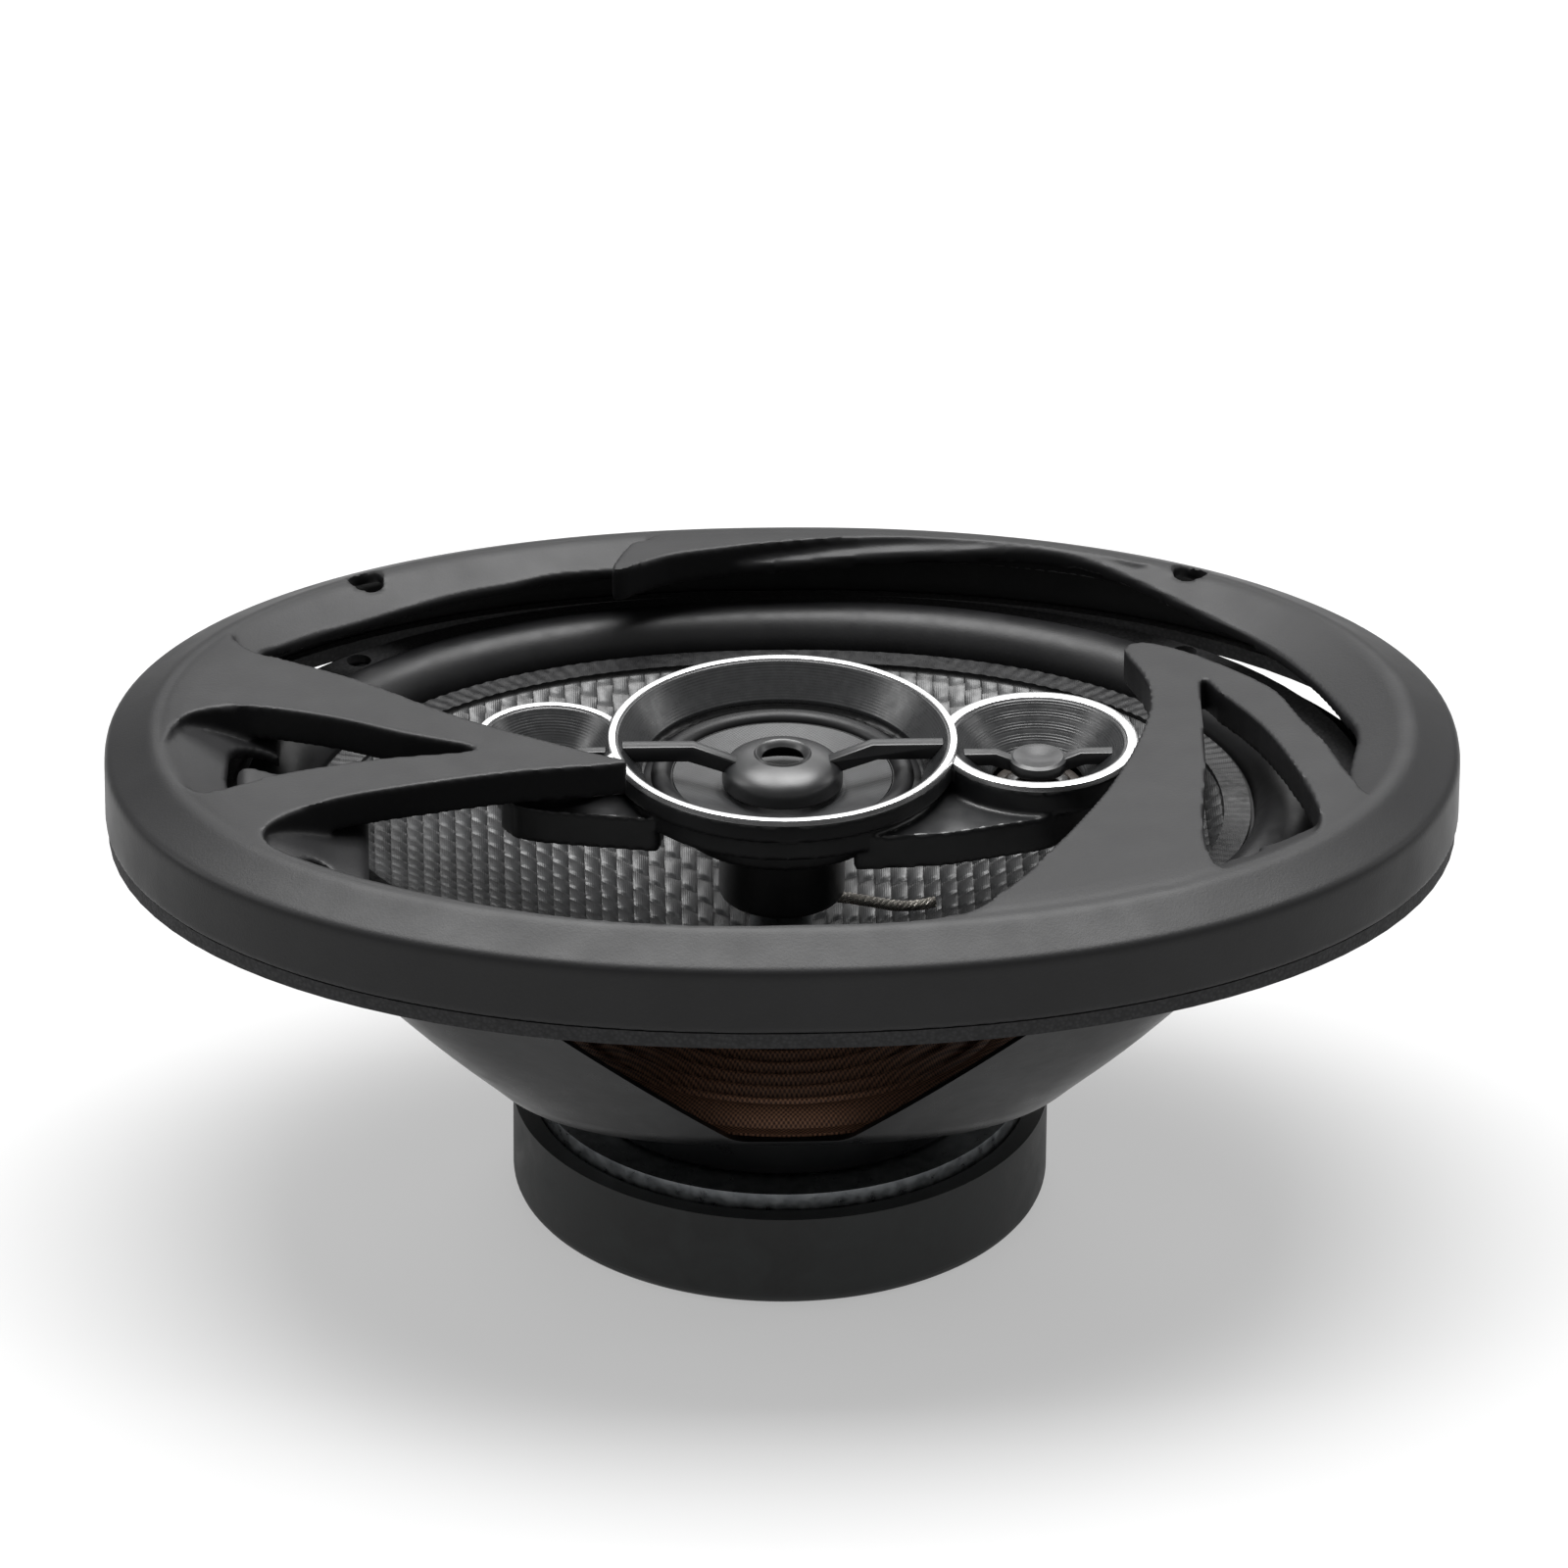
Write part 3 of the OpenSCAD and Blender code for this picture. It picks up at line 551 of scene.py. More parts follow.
def foam():
    # closed-cell foam: matte dark grey with fine open pores
    material, tree, shader, place = start("closed-cell foam", 0.85, IOR=1.45)
    cells = node(tree, "ShaderNodeTexVoronoi", {"Vector": place, "Scale": 1 / 0.8}).outputs[0]
    tinted(tree, shader, cells, "#2b2b2c", "#1c1c1d", (0.1, 0.7))
    relief(tree, shader, cells, 0.12, 0.7)
    return material


def coated_cloth():
    # doped cloth: the midrange's dark matte cone with a fine weave under the coat
    material, tree, shader, place = start("doped cloth", 0.5, IOR=1.5)
    parts = node(tree, "ShaderNodeSeparateXYZ", {0: place}).outputs
    pitch = 0.7   # threads are drawn at about twice their real spacing, so that they show
    warp = maths(tree, "SINE", maths(tree, "MULTIPLY", parts[0], TAU / pitch))
    weft = maths(tree, "SINE", maths(tree, "MULTIPLY", parts[1], TAU / pitch))
    weave = maths(tree, "MULTIPLY", warp, weft)
    tinted(tree, shader, grain(tree, place, 3, 2), "#1b1b1c", "#252627")
    relief(tree, shader, weave, 0.03, 0.6)
    return material


def dome_film():
    # polyetherimide film: dark smoky dome, smooth and glossy
    material, tree, shader, place = start("polyetherimide film", 0.2, IOR=1.65)
    tinted(tree, shader, grain(tree, place, 2, 2), "#2a2624", "#3a3633")
    relief(tree, shader, turned(tree, place, 0.6), 0.01, 0.4)
    return material


def nickel_magnet():
    # nickel-plated neodymium: cool mirror-like silver with light scratches
    material, tree, shader, place = start("nickel-plated neodymium", 0.18, Metallic=1.0)
    tinted(tree, shader, grain(tree, place, 3, 2), "#b4b6b9", "#c6c8ca")
    polish(tree, shader, grain(tree, place, 0.8, 4), 0.12, 0.26)
    relief(tree, shader, grain(tree, place, 0.6, 3), 0.01, 0.4)
    return material


FINISH = {
    "grille_abs": moulded_abs(), "pod_abs": pod_abs(), "bright_trim": bright_trim(),
    "flare_black": spun_lacquer("spun lacquer, midrange", 0), "cone_weave": woven_cone(), "butyl": butyl(),
    "boot_rubber": boot_rubber(), "black_steel": painted_steel(), "spider_cloth": spider_cloth(),
    "zinc_steel": zinc_steel(), "ferrite": ferrite(), "copper": enamelled_copper(), "kapton": polyimide(),
    "braid": tinned_braid(), "phenolic": phenolic_board(), "tin": tinned_brass(),
    "sleeve": shrunk_sleeve("PVC sleeve", "#151a33", "#1c2340"), "foam": foam(),
    "midrange_cloth": coated_cloth(), "dome_film": dome_film(), "neodymium": nickel_magnet(),
}


# ---------------------------------------------------------------- camera, floor and lights
def camera():
    """A long lens from the front and above, turned and tilted by the angles given in radians."""
    elevation, azimuth, roll = 0.5006826, -0.037926, 0.0072606
    distance, lens = 2591.4, 311.95
    aside, above = 0.296, 21.968        # how far the camera stands off the line to its target
    back = Vector((math.sin(azimuth) * math.cos(elevation), -math.cos(azimuth) * math.cos(elevation),
                   math.sin(elevation)))
    right = Vector((math.cos(azimuth), math.sin(azimuth), 0))
    up = back.cross(right)
    target = Vector((0, 0, 60))
    spot = target + distance * back + aside * right + above * up
    across = math.cos(roll) * right + math.sin(roll) * up
    upward = math.cos(roll) * up - math.sin(roll) * right
    data = bpy.data.cameras.new("camera")
    data.lens, data.sensor_width = lens, 36
    data.clip_start, data.clip_end = 0.1, 60
    viewer = bpy.data.objects.new("camera", data)
    bpy.context.scene.collection.objects.link(viewer)
    facing = Matrix((across, upward, back)).transposed().to_4x4()
    viewer.matrix_world = Matrix.Translation(spot * MM) @ facing
    bpy.context.scene.camera = viewer


def floor():
    rest()
    bpy.ops.mesh.primitive_plane_add(size=30)
    ground = bpy.context.object
    ground.name = "studio_floor"
    # white laminate: matt and pale, lit a little from within so that it reads as a sheet without an edge
    material, _, shader, _ = start("matt white laminate", 0.9)
    shader.inputs["Base Color"].default_value = (0.27, 0.27, 0.27, 1)
    shader.inputs["Emission Color"].default_value = (1, 1, 1, 1)
    shader.inputs["Emission Strength"].default_value = 0.4
    shader.inputs["Specular IOR Level"].default_value = 0.1
    ground.data.materials.append(material)


def softbox(name, at, size, power):
    """A soft rectangular light at a place in metres, turned to the speaker's middle."""
    aim = Vector((0, 0, 0.06))
    data = bpy.data.lights.new(name, "AREA")
    data.shape, data.size, data.size_y, data.energy = "RECTANGLE", size[0], size[1], power
    lamp = bpy.data.objects.new(name, data)
    bpy.context.scene.collection.objects.link(lamp)
    lamp.location = at
    lamp.rotation_euler = (aim - Vector(at)).to_track_quat("-Z", "Y").to_euler()


def studio():
    world = bpy.data.worlds.new("studio")
    bpy.context.scene.world = world
    world.use_nodes = True
    sky = world.node_tree.nodes["Background"]
    sky.inputs[0].default_value = (1, 1, 1, 1)
    sky.inputs[1].default_value = 0.4
    softbox("overhead_softbox", (0.0, 0.35, 1.5), (1.5, 0.9), 60)
    softbox("back_softbox", (0.3, 2.2, 1.25), (2.0, 0.7), 14)
    softbox("left_softbox", (-1.6, 0.2, 1.1), (0.7, 1.0), 9)
    softbox("right_softbox", (1.7, 0.5, 0.9), (0.6, 1.0), 5)
    bpy.context.scene.view_settings.view_transform = "Standard"


camera()
floor()
studio()


# ---------------------------------------------------------------- grille
# outlines seen from above, in X and Y
FIN_LEFT = [(-106, 44), (-103, 33), (-97, 26.5), (-80, 16), (-60, 0), (-37, -13.5), (-30, -18), (-50, -21),
            (-70, -26), (-85, -31), (-96, -38), (-98, -44), (-92, -52), (-80, -61), (-60, -70), (-40, -76),
            (-70, -88), (-118, -58), (-130, -20), (-130, 30), (-112, 58)]
FIN_LEFT_MOUTH = [(-117, -5), (-114, 2.5), (-110, 5.5), (-101, 6), (-85, 1), (-72, -5.5), (-58, -12),
                  (-75, -15), (-90, -19), (-102, -23.5), (-108, -26), (-113, -23), (-117, -13)]
FIN_LEFT_GAP = [(-105, -6), (-104, 1), (-98, 4), (-85, 0), (-72, -6), (-60, -12), (-75, -14), (-90, -18),
                (-100, -20), (-105, -16)]
FIN_RIGHT = [(20, -78), (30, -76), (40, -66), (50, -50), (60, -30), (67, -10), (70, 5), (69, 15), (66, 25),
             (70, 28), (78, 24), (86, 17), (94, 8), (98, -3), (103, -15), (106, -25), (112, -33),
             (130, -24), (124, -50), (100, -70), (70, -88), (20, -92)]
FIN_RIGHT_MOUTH = [(80, 12), (83, 8), (90, -5), (95, -20), (99, -38), (97, -48), (89, -54.5), (82, -60),
                   (78, -56), (77, -44), (79, -20)]
FIN_BACK = [(-31, 59.5), (-20, 66), (-10, 69), (0, 71.5), (20, 74), (40, 73), (60, 68), (75, 62), (80, 76),
            (40, 92), (-16, 92), (-22, 76), (-27, 72)]
OPENING = [(-95, 26), (-99, 34), (-95, 38), (-88, 43.5), (-80, 48.5), (-70, 54.5), (-60, 59.5), (-50, 63),
           (-40, 66.5), (-20, 69), (0, 70), (20, 71.5), (40, 71), (50, 70), (60, 66.5), (70, 59.5),
           (80, 50.5), (90, 40.5), (97, 31.5), (103, 20), (107, 8), (109, -1), (107, -12), (105, -24),
           (101, -37), (93, -44), (85, -48), (77, -57), (70, -66), (40, -66), (26, -76), (0, -78),
           (-20, -77.5), (-40, -74.5), (-60, -68), (-80, -58), (-93, -49), (-99, -42), (-97, -36)]


# screw recesses: place, then the height of the ceiling that each is cut down from
RECESSES = [(-78.5, 60.5, 104), (81, 60.5, 104), (-88.5, -46, 97), (84, -48, 97)]
SCOOP = [(-102, 97.6), (-97, 96.6), (-91, 94.4), (-85, 91.8), (-79.5, 90.2), (-79.2, 87.6), (-86, 88.8),
         (-95, 92), (-103, 94.5)]


def inset_row(d, z):
    """The grille's oval at height z, d inside its outline."""
    return (BEZEL_A - d, BEZEL_B - d, OVAL, z)


def grille():
    outside = [(2.5, SKIRT_Z + 0.3), (2.3, SKIRT_Z), (0.4, SKIRT_Z), (0, SKIRT_Z + 0.4), (0, 92.6),
               (0.2, 93.5), (0.8, 94.15), (2, 94.75), (5, 96.3), (8, 97.9), (9.2, 98.4), (10.4, 98.5),
               (11.8, 98.1), (14, 97.2), (20, 94.9), (28, 91.9), (34, 89.8)]
    under = [(34, 87.3), (11, 95.7), (9, 95.6), (3, 92.4), (2.5, 91.6)]
    body = loft("grille", [inset_row(*row) for row in outside + under], 288)
    cut(body, plate("opening", smooth_outline(OPENING, 3), SKIRT_Z + 1, 110))
    cut(body, plate("gap", smooth_outline(FIN_LEFT_GAP, 3), 80, 110))
    # the fins' tops leave the rim at its crest and rise a little towards the middle
    crest = [(1.2, 81.5), (1.2, 93), (3, 94.9), (5.5, 96.2), (8, 97.5), (9.4, 98.1), (10.6, 98.5),
             (12, 98.85), (15, 99.3), (20, 99.7), (30, CREST_Z)]
    crown = loft("crown", [inset_row(*row) for row in crest], 192, ring=False)
    fins = {"fin_left": (FIN_LEFT, FIN_LEFT_MOUTH), "fin_right": (FIN_RIGHT, FIN_RIGHT_MOUTH),
            "fin_back": (FIN_BACK, None)}
    parts = []
    for name, (outline, mouth) in fins.items():
        fin = plate(name, smooth_outline(outline, 3), CREST_Z - 7, CREST_Z + 2)
        if mouth:
            cut(fin, plate("mouth", smooth_outline(mouth, 3), 80, 110))
        parts.append(combine(fin, [copy_of(crown)], "INTERSECT"))
    scoop = plate("scoop", smooth_outline(SCOOP, 3), -66, -14, upright_x)
    parts.append(combine(scoop, [crown], "INTERSECT"))
    # the left fin is hollowed where it passes over the pod's rings
    cut(parts[0], peg("relief", 0, 0, MID_R + 0.6, 80, MID_RIM + 1.7, 96),
        peg("relief", SUPER_X, 0, SUPER_R + 0.6, 80, SUPER_RIM + 1.6, 64))
    for x, y, ceiling in RECESSES:
        for part in [body] + parts:
            cut(part, peg("recess", x, y, 3.4, 84, ceiling))
    joined(body, parts)
    remeshed(body, 0.62, 3, 190000)
    return wearing(body, FINISH["grille_abs"], "chassis", "grille_abs", "grille")


def copy_of(piece):
    twin = piece.copy()
    twin.data = piece.data.copy()
    bpy.context.scene.collection.objects.link(twin)
    return twin


# ---------------------------------------------------------------- basket
def ramp(low, high, t):
    return low + (high - low) * t


def wall_row(t, inward, drop=0.0):
    """Row of the basket's slanting wall, from the plateau at t = 0 to the flange at t = 1."""
    return (ramp(60, 106, t) - inward, ramp(53, 80, t) - inward, ramp(2.75, OVAL, t ** 0.6),
            ramp(PLATEAU_Z + 0.6, FLANGE_Z - 0.4, t) - drop)


def basket():
    steps = [i / 14 for i in range(15)]
    rows = [(18, 18, 2, SEAT_Z), (39.4, 39.4, 2, SEAT_Z), (40.1, 40.1, 2, 22.9), (43, 43, 2, 35.4),
            (43.8, 43.8, 2, PLATEAU_Z), (50, 50, 2.2, PLATEAU_Z), (59, 52, 2.75, PLATEAU_Z)]
    rows += [wall_row(t, 0) for t in steps]
    rows += [(107.2, 80.2, OVAL, FLANGE_Z), (117.6, 80.7, OVAL, FLANGE_Z), (118, 81, OVAL, FLANGE_Z + 0.4),
             (118, 81, OVAL, FOOT_Z - 0.3), (117.7, 80.7, OVAL, FOOT_Z), (105.4, 79.2, OVAL, FOOT_Z)]
    rows += [wall_row(t, SHEET, -0.5) for t in reversed(steps)]
    rows += [(57.4, 50.6, 2.75, PLATEAU_Z + SHEET), (49, 49, 2.2, PLATEAU_Z + SHEET),
             (42.8, 42.8, 2, PLATEAU_Z + SHEET), (41.7, 41.7, 2, PLATEAU_Z + 0.8),
             (38.9, 38.9, 2, SEAT_Z + 1.9), (38, 38, 2, SEAT_Z + SHEET), (18, 18, 2, SEAT_Z + SHEET)]
    tub = loft("basket", rows, 240)
    bulge_arms(tub)
    long_side = smooth_corners([(-10.5, 37.8), (10.5, 37.8), (48, 73), (-48, 73)], 2.5)
    short_side = smooth_corners([(-9, 41), (9, 41), (31, 72), (-31, 72)], 2.5)
    for side in (-1, 1):
        near, far = sorted((30 * side, 95 * side))
        cut(tub, plate("window", long_side, near, far, upright_x))
        cut(tub, plate("window", short_side, near * 1.3, far * 1.3, upright_y))
    for x in (-HOLE_X, HOLE_X):
        for y in (-HOLE_Y, HOLE_Y):
            united(tub, peg("ear", x, y, 6.5, FLANGE_Z + 0.02, FOOT_Z - 0.02))
            cut(tub, peg("hole", x, y, 2.4, 70, 90))
    for turn in (45, 135, 225, 315):
        place = Vector((30, 0)) @ Matrix.Rotation(math.radians(turn), 2)
        cut(tub, peg("hole", place.x, place.y, 2.1, 20, 28))
    cut(tub, plate("room", [(-19, 34.1), (19, 34.1), (19, 58), (-19, 58)], 52.42, 82, upright_x))
    united(tub, softened(plate("tab", smooth_corners([(-18, 36.2), (18, 36.2), (18, 56), (-18, 56)], 2),
                               51, 51 + SHEET, upright_x), 0.2))
    shaded(tub, 32)
    return wearing(tub, FINISH["black_steel"], "chassis", "black_steel", "basket")


def bulge_arms(tub):
    """Presses a long soft rib into each of the four arms, highest half way up."""
    bm = shaping(tub)
    for vert in bm.verts:
        t = (vert.co.z / MM - PLATEAU_Z) / (FLANGE_Z - PLATEAU_Z)
        if not 0.02 < t < 0.98:
            continue
        turn = math.atan2(vert.co.y / 66, vert.co.x / 83)
        rib = max(0.0, -math.cos(4 * turn)) ** 4 * math.sin(math.pi * t)
        out = Vector((vert.co.x, vert.co.y, 0)).normalized()
        vert.co += out * 2.2 * rib * MM
    bpy.ops.object.mode_set(mode="OBJECT")


def smooth_corners(corners, r, per=5):
    """Rounds each corner of an outline with a short curve that starts r before it and ends r after."""
    outline, count = [], len(corners)
    for i in range(count):
        before, here, after = (Vector(corners[(i + k) % count]) for k in (-1, 0, 1))
        a = here + (before - here).normalized() * r
        b = here + (after - here).normalized() * r
        for s in range(per + 1):
            t = s / per
            outline.append(tuple((1 - t) ** 2 * a + 2 * t * (1 - t) * here + t * t * b))
    return outline


# ---------------------------------------------------------------- cone, surround and spider
def cone_row(t, drop):
    """The cone's face from its neck at t = 0 to its flat edge at t = 1."""
    a = NECK_R + (CONE_A - EDGE_W - NECK_R) * t
    b = NECK_R + (CONE_B - EDGE_W - NECK_R) * t
    return (a, b, 2 + (OVAL - 2) * t, NECK_Z + (CONE_Z - 1 - NECK_Z) * t ** 0.92 - drop)


def edge_row(d, z):
    """The cone's outline at height z, moved out by d."""
    return (CONE_A + d, CONE_B + d, OVAL, z)


def tow_height(x, y):
    """Height of the pressed weave, 0 to 1: each cell rises along its length and drops at its end."""
    across = x / TOW_W
    along = y / TOW_L + math.floor(across) / 3
    u, v = across % 1, along % 1
    crown = math.sin(math.pi * u) ** 0.6
    rise = (1 - v) ** 0.9 if v > 0.12 else v / 0.12 * 0.9
    return crown * rise


def cone():
    fine, coarse = 112, 14
    rows = [cone_row(i / coarse, PAPER) for i in range(coarse + 1)]
    rows += [edge_row(1.2 - EDGE_W, CONE_Z - PAPER), edge_row(0, CONE_Z - PAPER), edge_row(0, CONE_Z)]
    rows += [edge_row(-EDGE_W * i / 8, CONE_Z) for i in range(1, 9)]
    rows += [cone_row(1 - i / fine, 0) for i in range(fine + 1)]
    piece = loft("cone", rows, 640)
    bm = shaping(piece)
    for vert in bm.verts:
        if vert.normal.z < 0.2:
            continue
        x, y, z = vert.co / MM
        if z > CONE_Z - 0.5:
            turn = math.atan2(y / CONE_B, x / CONE_A)
            vert.co.z += RIB_H * MM * math.sin(turn * EDGE_RIBS) * (0.6 + 0.4 * math.sin(turn * 3))
        elif z < CONE_Z - 1.8:
            vert.co.z += (tow_height(x, y) * 0.4 - 0.2) * MM
    bpy.ops.object.mode_set(mode="OBJECT")
    shaded(piece, 60)
    return wearing(piece, FINISH["cone_weave"], "woofer", "cone_weave", "cone")


def sectors(whole, count, outer, inner, body, slot, solid):
    """Splits a ring into sectors, each of which bends from the chassis to the moving body."""
    for k in range(count):
        middle = TAU * (k + 0.5) / count
        part = copy_of(whole)
        part.name = "%s_%02d" % (whole.name, k + 1)
        bm = shaping(part)
        turn = bm.verts.layers.float["turn"]
        half = math.pi / count + 1e-4
        spare = [v for v in bm.verts if abs((v[turn] - middle + math.pi) % TAU - math.pi) > half]
        bmesh.ops.delete(bm, geom=spare, context="VERTS")
        bmesh.update_edit_mesh(part.data)
        bpy.ops.mesh.select_all(action="SELECT")
        bpy.ops.mesh.fill_holes(sides=0)
        bpy.ops.object.mode_set(mode="OBJECT")
        part.data.materials.clear()
        part.data.materials.append(FINISH[slot])
        shaded(part, 40)
        far, near = oval_point(middle, *outer), oval_point(middle, *inner)
        ahead, behind = oval_point(middle + 0.01, *outer), oval_point(middle - 0.01, *outer)
        side = (ahead - behind).normalized()
        inward = Vector((-side.y, side.x, 0))
        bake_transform(part, "chassis", body, far, far + inward * (near - far).dot(inward))
        dressed(part, slot, solid)
    bpy.data.objects.remove(whole)


def surround():
    middle, crease = 0.7 + ROLL_W / 2, FOOT_Z + 0.05
    turns = [math.pi * i / 20 for i in range(21)]
    rows = [edge_row(-3, CONE_Z - 1.65), edge_row(1.3, CONE_Z - 1.65)]
    hollow_w, hollow_h = ROLL_W / 2 - RUBBER, ROLL_H - RUBBER
    rows += [edge_row(middle - hollow_w * math.cos(t), crease + hollow_h * math.sin(t)) for t in turns]
    rows += [edge_row(2 * middle - 0.6, FOOT_Z + 0.02), edge_row(2 * middle + 5.4, FOOT_Z + 0.02),
             edge_row(2 * middle + 5.4, FOOT_Z + RUBBER), edge_row(2 * middle + 0.1, FOOT_Z + RUBBER)]
    rows += [edge_row(middle + ROLL_W / 2 * math.cos(t), crease + RUBBER / 2 + ROLL_H * math.sin(t))
             for t in turns]
    rows += [edge_row(-3, CONE_Z - 1.05)]
    whole = loft("surround", rows, 256)
    sectors(whole, 32, edge_row(2 * middle - 0.6, 80), edge_row(1.2, 80), "woofer", "butyl", "surround")


def spider():
    inner, outer, cloth, seat = 15.5, 44.5, 0.5, PLATEAU_Z + SHEET
    count, roll_pitch = 112, 4.5
    radii = [inner + (outer - inner) * i / count for i in range(count + 1)]
    lower = [(r, seat + 2.2 + 1.3 * math.sin((r - inner) * TAU / roll_pitch)) for r in radii]
    lower += [(45.5, seat + 2.75), (46.5, seat + 2.2), (47.6, seat + 1.7), (48.5, seat + 0.8),
              (49.2, seat + 0.02), (51.4, seat + 0.02)]
    section = lower + [(r, z + cloth) for r, z in reversed(lower)]
    whole = loft("spider", [(r, r, 2, z) for r, z in section], 160)
    sectors(whole, 16, (46, 46, 2, seat), (17, 17, 2, seat), "woofer", "spider_cloth", "spider")


def midrange_surround():
    middle = 23.1
    turns = [math.pi * i / 12 for i in range(13)]
    section = [(21, 86.55), (21, 86.85)]
    section += [(middle - 1.9 * math.cos(t), 86.9 + 1.6 * math.sin(t)) for t in turns]
    section += [(26.4, 86.6), (26.4, 86.25), (24.7, 86.25)]
    section += [(middle + 1.5 * math.cos(t), 86.55 + 1.3 * math.sin(t)) for t in turns]
    whole = loft("midrange_surround", [(r, r, 2, z) for r, z in section], 144)
    sectors(whole, 12, (25.2, 25.2, 2, 86), (21.2, 21.2, 2, 86), "midrange_diaphragm", "butyl",
            "midrange_surround")


# ---------------------------------------------------------------- pod
WEB_RIGHT = [(12, -27), (30, -25.5), (49, -20), (57, -13), (60, -8), (40, 6), (20, 0)]
WING_LEFT = [(-54, -8), (-51, -13), (-46, -15), (-24, -19), (-20, 0), (-44, 6)]


def pod_housing():
    body = spun("pod_housing", [(0, 62), (11.4, 62), (12, 62.6), (12, 76), (20.5, 77.5), (20.5, 84),
                                (31, 85.5), (31, 89.9), (MID_R, 90.4), (MID_R, MID_RIM), (0, MID_RIM)],
                0, 144)
    cups = [spun("tweeter_cup", [(0, 79.5), (13.5, 79.5), (13.5, 87), (TWEETER_R, 88),
                                 (TWEETER_R, TWEETER_RIM), (0, TWEETER_RIM)], TWEETER_X, 96),
            spun("super_cup", [(0, 82), (10.5, 82), (10.5, 88), (SUPER_R, 90.5), (SUPER_R, SUPER_RIM),
                               (0, SUPER_RIM)], SUPER_X, 96),
            plate("web", smooth_corners(WEB_RIGHT, 2.5), 81, 88),
            plate("wing", smooth_corners(WING_LEFT, 1.6), 81, 88)]
    wells = [spun("well", [(0, 78), (18.9, 78), (18.9, 84.3), (24.3, 86.2), (27.6, 86.2), (27.6, 87.6),
                           (31.9, 90.6), (31.9, 99), (0, 99)], 0, 144)]
    side_wells = {TWEETER_X: [(0, 81), (12.2, 81), (12.2, 87.6), (17.8, 92.4), (17.8, 97), (0, 97)],
                  SUPER_X: [(0, 83.4), (9, 83.4), (9, 88.5), (13.3, 93.2), (13.3, 99), (0, 99)]}
    wells += [outside_midrange(spun("well", profile, centre, 96)) for centre, profile in side_wells.items()]
    wells += [peg("socket", 0, 0, 6.05, 50, 66), peg("bore", 0, 0, 2.5, 60, 90),
              peg("ring_room", 0, 0, MID_R + 0.15, MID_RIM + 0.01, 99, 96)]
    for part in [body] + cups:
        cut(part, *[copy_of(well) for well in wells])
    for well in wells:
        bpy.data.objects.remove(well)
    joined(body, cups)
    remeshed(body, 0.5, 2, 150000)
    return wearing(body, FINISH["pod_abs"], "chassis", "pod_abs", "pod_housing")


def outside_midrange(piece):
    """Trims what a side driver's part would run into the midrange."""
    return cut(piece, peg("midrange_bore", 0, 0, MID_R + 0.1, 60, 110, 144))


def trim_ring(name, outer, inner, low, high, centre):
    soft, round_in = 0.25, 0.08
    ring = spun(name, [(outer, low), (outer, high - soft), (outer - round_in, high - round_in),
                       (outer - soft, high), (inner + soft, high), (inner + round_in, high - round_in),
                       (inner, high - soft), (inner, low)], centre, 160)
    if centre:
        outside_midrange(ring)
    shaded(ring, 30)
    return wearing(ring, FINISH["bright_trim"], "chassis", "bright_trim", name)


def flare(name, low, high, wall, centre, finish):
    """A turned funnel from (radius, height) low to high, with a fine groove every 0.6 mm."""
    step, groove_depth = 0.15, 0.05
    count = int((Vector(high) - Vector(low)).length / step)
    face = []
    for i in range(count + 1):
        t = i / count
        groove = groove_depth * (0.5 + 0.5 * math.cos(TAU * i / 4))
        face.append((ramp(low[0], high[0], t), ramp(low[1], high[1], t) - groove))
    back = [(high[0] + 0.4, high[1]), (high[0] + 0.4, high[1] - 2.4), (low[0] + 1.0, low[1] - wall),
            (low[0], low[1] - wall)]
    piece = spun(name, face + back, centre, 144)
    if centre:
        outside_midrange(piece)
    shaded(piece, 60)
    return wearing(piece, finish, "chassis", "flare_black", name)


def bridge_bar(reach, inner_x, bend_x, inner_z, outer_z, width, depth, centre, side):
    corners = [(inner_x, inner_z - depth), (inner_x, inner_z), (bend_x, outer_z), (reach, outer_z),
               (reach, outer_z - depth), (bend_x + 1, outer_z - depth)]
    outline = [(centre + side * x, z) for x, z in corners]
    return softened(plate("bar", outline, -width / 2, width / 2, upright_x), 0.35)


def funnel(low, high, centre):
    """What lies inside a flare, to trim a bridge's arms to it."""
    foot, brim = low[1] - 12, high[1] + 1
    return spun("funnel", [(0, foot), (low[0], foot), low, high, (high[0], brim), (0, brim)], centre, 96)


def bridge(name, cap_profile, bar, low, high, centre):
    """A cap on two arms, trimmed to the flare that runs from low to high."""
    cap = spun(name, cap_profile, centre, 96)
    for side in (-1, 1):
        arm = bridge_bar(*bar, centre, side)
        combine(arm, [funnel(low, high, centre)], "INTERSECT")
        united(cap, arm)
    if centre:
        outside_midrange(cap)
    shaded(cap, 35)
    return wearing(cap, FINISH["pod_abs"], "chassis", "pod_abs", name)


def midrange_cap():
    r, z, rise = 11.5, 88, 4.2
    angles = [math.radians(t) for t in range(5, 62, 4)]
    dome = [(r * math.cos(t) * 0.985, z + rise * math.sin(t)) for t in angles]
    return ([(4, 90.6), (9.9, 87.4), (9.9, 85.9), (10.1, 85.6), (11.2, 85.6), (11.5, 85.9), (11.5, 87.6)]
            + dome + [(5.2, 92.0), (4.8, 91.85), (4.3, 91.2), (4, 90.9)])


def small_cap(r, low, high):
    return [(0, low), (r * 0.7, low), (r - 0.2, low + 0.8), (r, low + 1.1), (r, high - 0.9),
            (r - 0.15, high - 0.4), (r * 0.85, high), (r * 0.7, high - 0.1), (r * 0.4, high - 0.7),
            (0, high - 1)]


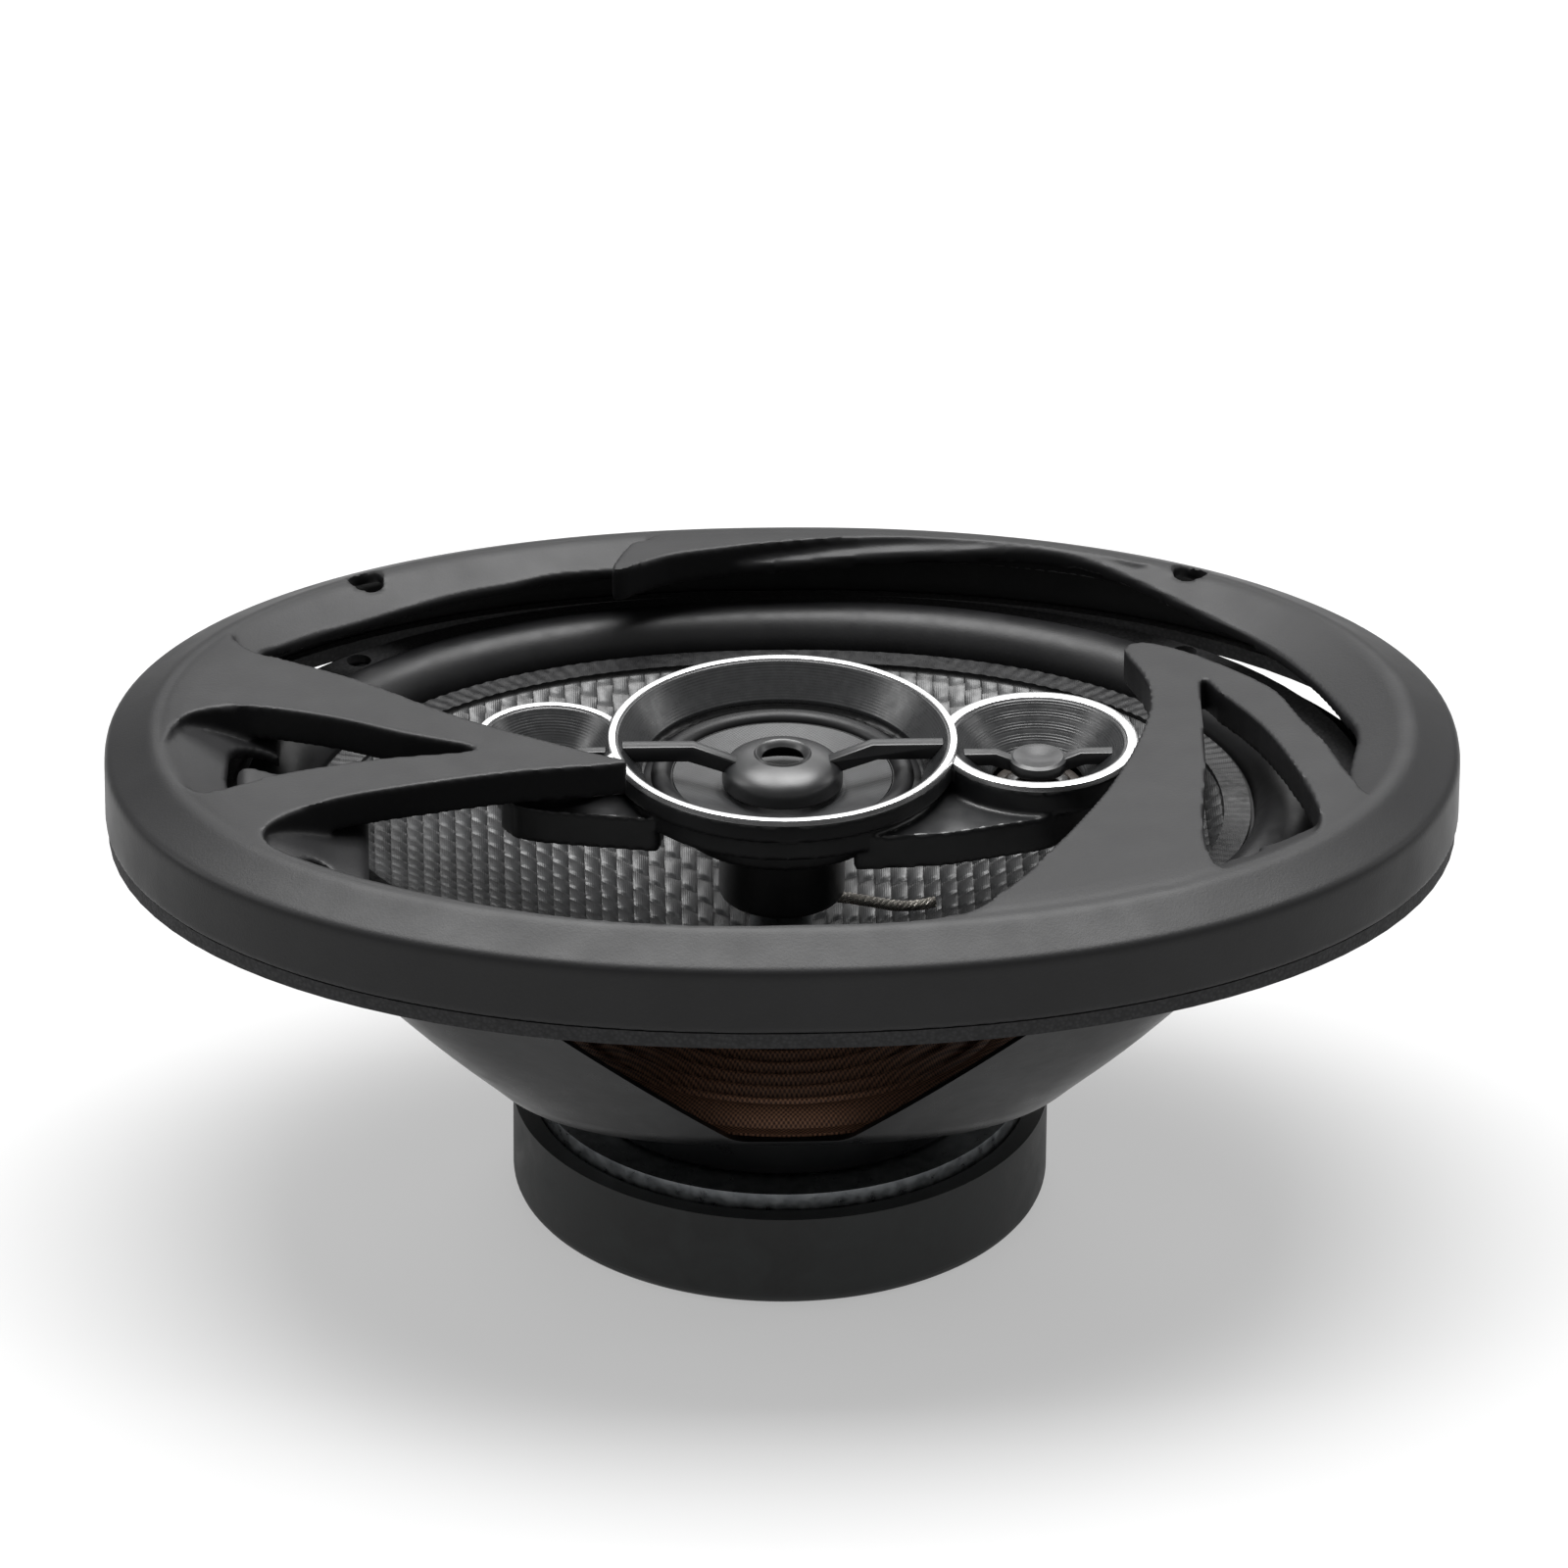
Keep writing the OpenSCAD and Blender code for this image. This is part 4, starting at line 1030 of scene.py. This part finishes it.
def pod_fittings():
    trim_ring("midrange_ring", MID_R, 31.7, MID_RIM + 0.02, 95.3, 0)
    trim_ring("tweeter_ring", TWEETER_R, 16.9, TWEETER_RIM + 0.02, 94.2, TWEETER_X)
    trim_ring("super_tweeter_ring", SUPER_R, 12.9, SUPER_RIM + 0.02, 95.7, SUPER_X)
    flare("midrange_flare", (26.7, 88.9), (31.2, 94.9), 0.9, 0, FINISH["flare_black"])
    flare("tweeter_flare", (8.6, 86.4), (16.4, 93.8), 0.8, TWEETER_X,
          spun_lacquer("spun lacquer, tweeter", TWEETER_X))
    flare("super_tweeter_flare", (6.6, 88.4), (12.4, 95.3), 0.9, SUPER_X,
          spun_lacquer("spun lacquer, super tweeter", SUPER_X))
    bridge("midrange_bridge", midrange_cap(), (32, 8.5, 17, 90.6, 94, 2.8, 3.3),
           (26.6, 88.9), (31.1, 94.9), 0)
    bridge("tweeter_bridge", small_cap(5.6, 87.2, 90.6), (17, 4, 8, 90, 91.7, 2.6, 2.6),
           (8.5, 86.4), (16.3, 93.8), TWEETER_X)
    bridge("super_tweeter_bridge", small_cap(4, 89.4, 92.4), (13, 2.5, 6, 92, 93, 2.2, 2.2),
           (6.5, 88.4), (12.3, 95.3), SUPER_X)


# ---------------------------------------------------------------- leads, terminals and capacitors
def braided(name, route, r, strands, turn_length):
    """Strands wound round a route, as one mesh."""
    path = []
    points = [Vector(p) for p in route]
    for a, b in zip(points, points[1:]):
        path += [a.lerp(b, s / 6) for s in range(6)]
    path.append(points[-1])
    rest()
    made = []
    for k in range(strands):
        curve = bpy.data.curves.new(name, "CURVE")
        curve.dimensions = "3D"
        curve.bevel_depth = r * 0.5 * MM
        curve.bevel_resolution = 1
        curve.use_fill_caps = True
        line = curve.splines.new("POLY")
        line.points.add(len(path) - 1)
        run = 0.0
        for i, spot in enumerate(path):
            ahead = (path[min(i + 1, len(path) - 1)] - path[max(i - 1, 0)]).normalized()
            side = ahead.orthogonal() if abs(ahead.z) > 0.95 else ahead.cross(Vector((0, 0, 1)))
            side.normalize()
            over = side.cross(ahead)
            if i:
                run += (spot - path[i - 1]).length
            angle = TAU * (k / strands + run / turn_length)
            at = spot + (side * math.cos(angle) + over * math.sin(angle)) * r * 0.52
            line.points[i].co = (*(at * MM), 1)
        strand = bpy.data.objects.new(name, curve)
        bpy.context.scene.collection.objects.link(strand)
        strand.select_set(True)
        made.append(strand)
    bpy.context.view_layer.objects.active = made[0]
    bpy.ops.object.convert(target="MESH")
    bpy.ops.object.join()
    piece = bpy.context.object
    piece.name = name
    return shaded(piece, 60)


def leads():
    """The two tinsel leads and the pod's braided lead, which bend between the fixed parts and the cone."""
    for side, name in ((-1, "tinsel_lead_negative"), (1, "tinsel_lead_positive")):
        route = [(12, 50, 42.5), (11.6, 47, 43.8), (11, 43, 44.8), (10, 37, 46), (9, 31, 46.4), (8, 26, 46),
                 (7.4, 22.5, 45), (7, 20, 44.2)]
        lead = braided(name, [(x * side, y, z) for x, y, z in route], 0.7, 4, 5)
        lead.data.materials.append(FINISH["braid"])
        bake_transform(lead, "chassis", "woofer", (0, 0.0485, 0), (0, 0.0215, 0))
        dressed(lead, "braid", "tinsel_leads")
    route = [(6.2, 0, 60), (8, -0.2, 60.4), (10.5, -0.3, 60.5), (13, 0, 60.1), (15.5, 0.5, 59.3),
             (18, 1.2, 58.4), (21, 2.2, 57.2), (24, 3.2, 56.4), (27, 4, 56.2), (29.5, 4.4, 56.6)]
    lead = braided("pod_lead", route, 1.1, 5, 6)
    lead.data.materials.append(FINISH["braid"])
    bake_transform(lead, "chassis", "woofer", (0.008, 0, 0), (0.028, 0, 0))
    dressed(lead, "braid", "pod_lead")


def capacitor(name, y, z, r, length, finish):
    """A sleeved can lying along X: a rolled groove near one end and domed crimped ends."""
    half = length / 2
    profile = [(-half, 0), (-half, r * 0.62), (-half + 0.25, r * 0.7), (-half + 0.35, r * 0.9),
               (-half + 0.9, r), (half - 3.2, r), (half - 2.8, r * 0.9), (half - 2.2, r * 0.9),
               (half - 1.8, r), (half - 0.5, r), (half, r * 0.9), (half, 0)]
    can = spun(name, [(radius, x) for x, radius in profile], 0, 64)
    bm = shaping(can)
    for vert in bm.verts:
        out, aside, along = vert.co
        vert.co = Vector((along, aside + y * MM, z * MM - out))
    closed_up(can)
    shaded(can, 40)
    return wearing(can, finish, "chassis", "sleeve", name)


def dress_nodes():
    """Gives each solid that keeps its own shape a finish."""
    finishes = {
        "foam": ["panel_gasket", "front_gasket"], "boot_rubber": ["magnet_boot"],
        "zinc_steel": ["back_plate", "top_plate", "centre_bolt", "centre_post", "basket_screws",
                       "midrange_yoke"],
        "ferrite": ["magnet"], "kapton": ["voice_coil_former"],
        "copper": ["voice_coil", "midrange_coil", "tweeter_coil", "super_tweeter_coil"],
        "butyl": ["dust_seal"], "phenolic": ["terminal_board"],
        "tin": ["positive_tab", "negative_tab", "terminal_rivets"], "midrange_cloth": ["midrange_cone"],
        "dome_film": ["tweeter_dome", "super_tweeter_dome"],
        "neodymium": ["midrange_magnet", "tweeter_magnet", "super_tweeter_magnet"],
    }
    for finish, names in finishes.items():
        for name in names:
            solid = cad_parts[name]
            solid.data.materials.clear()
            solid.data.materials.append(FINISH[finish])


grille()
basket()
cone()
surround()
spider()
pod_housing()
midrange_surround()
pod_fittings()
leads()
capacitor("midrange_capacitor", 58.7, 51.5, 4.5, 17, FINISH["sleeve"])
capacitor("tweeter_capacitor", 57.2, 42.5, 3, 13, shrunk_sleeve("PVC sleeve, green", "#1a3320", "#22402a"))
dress_nodes()
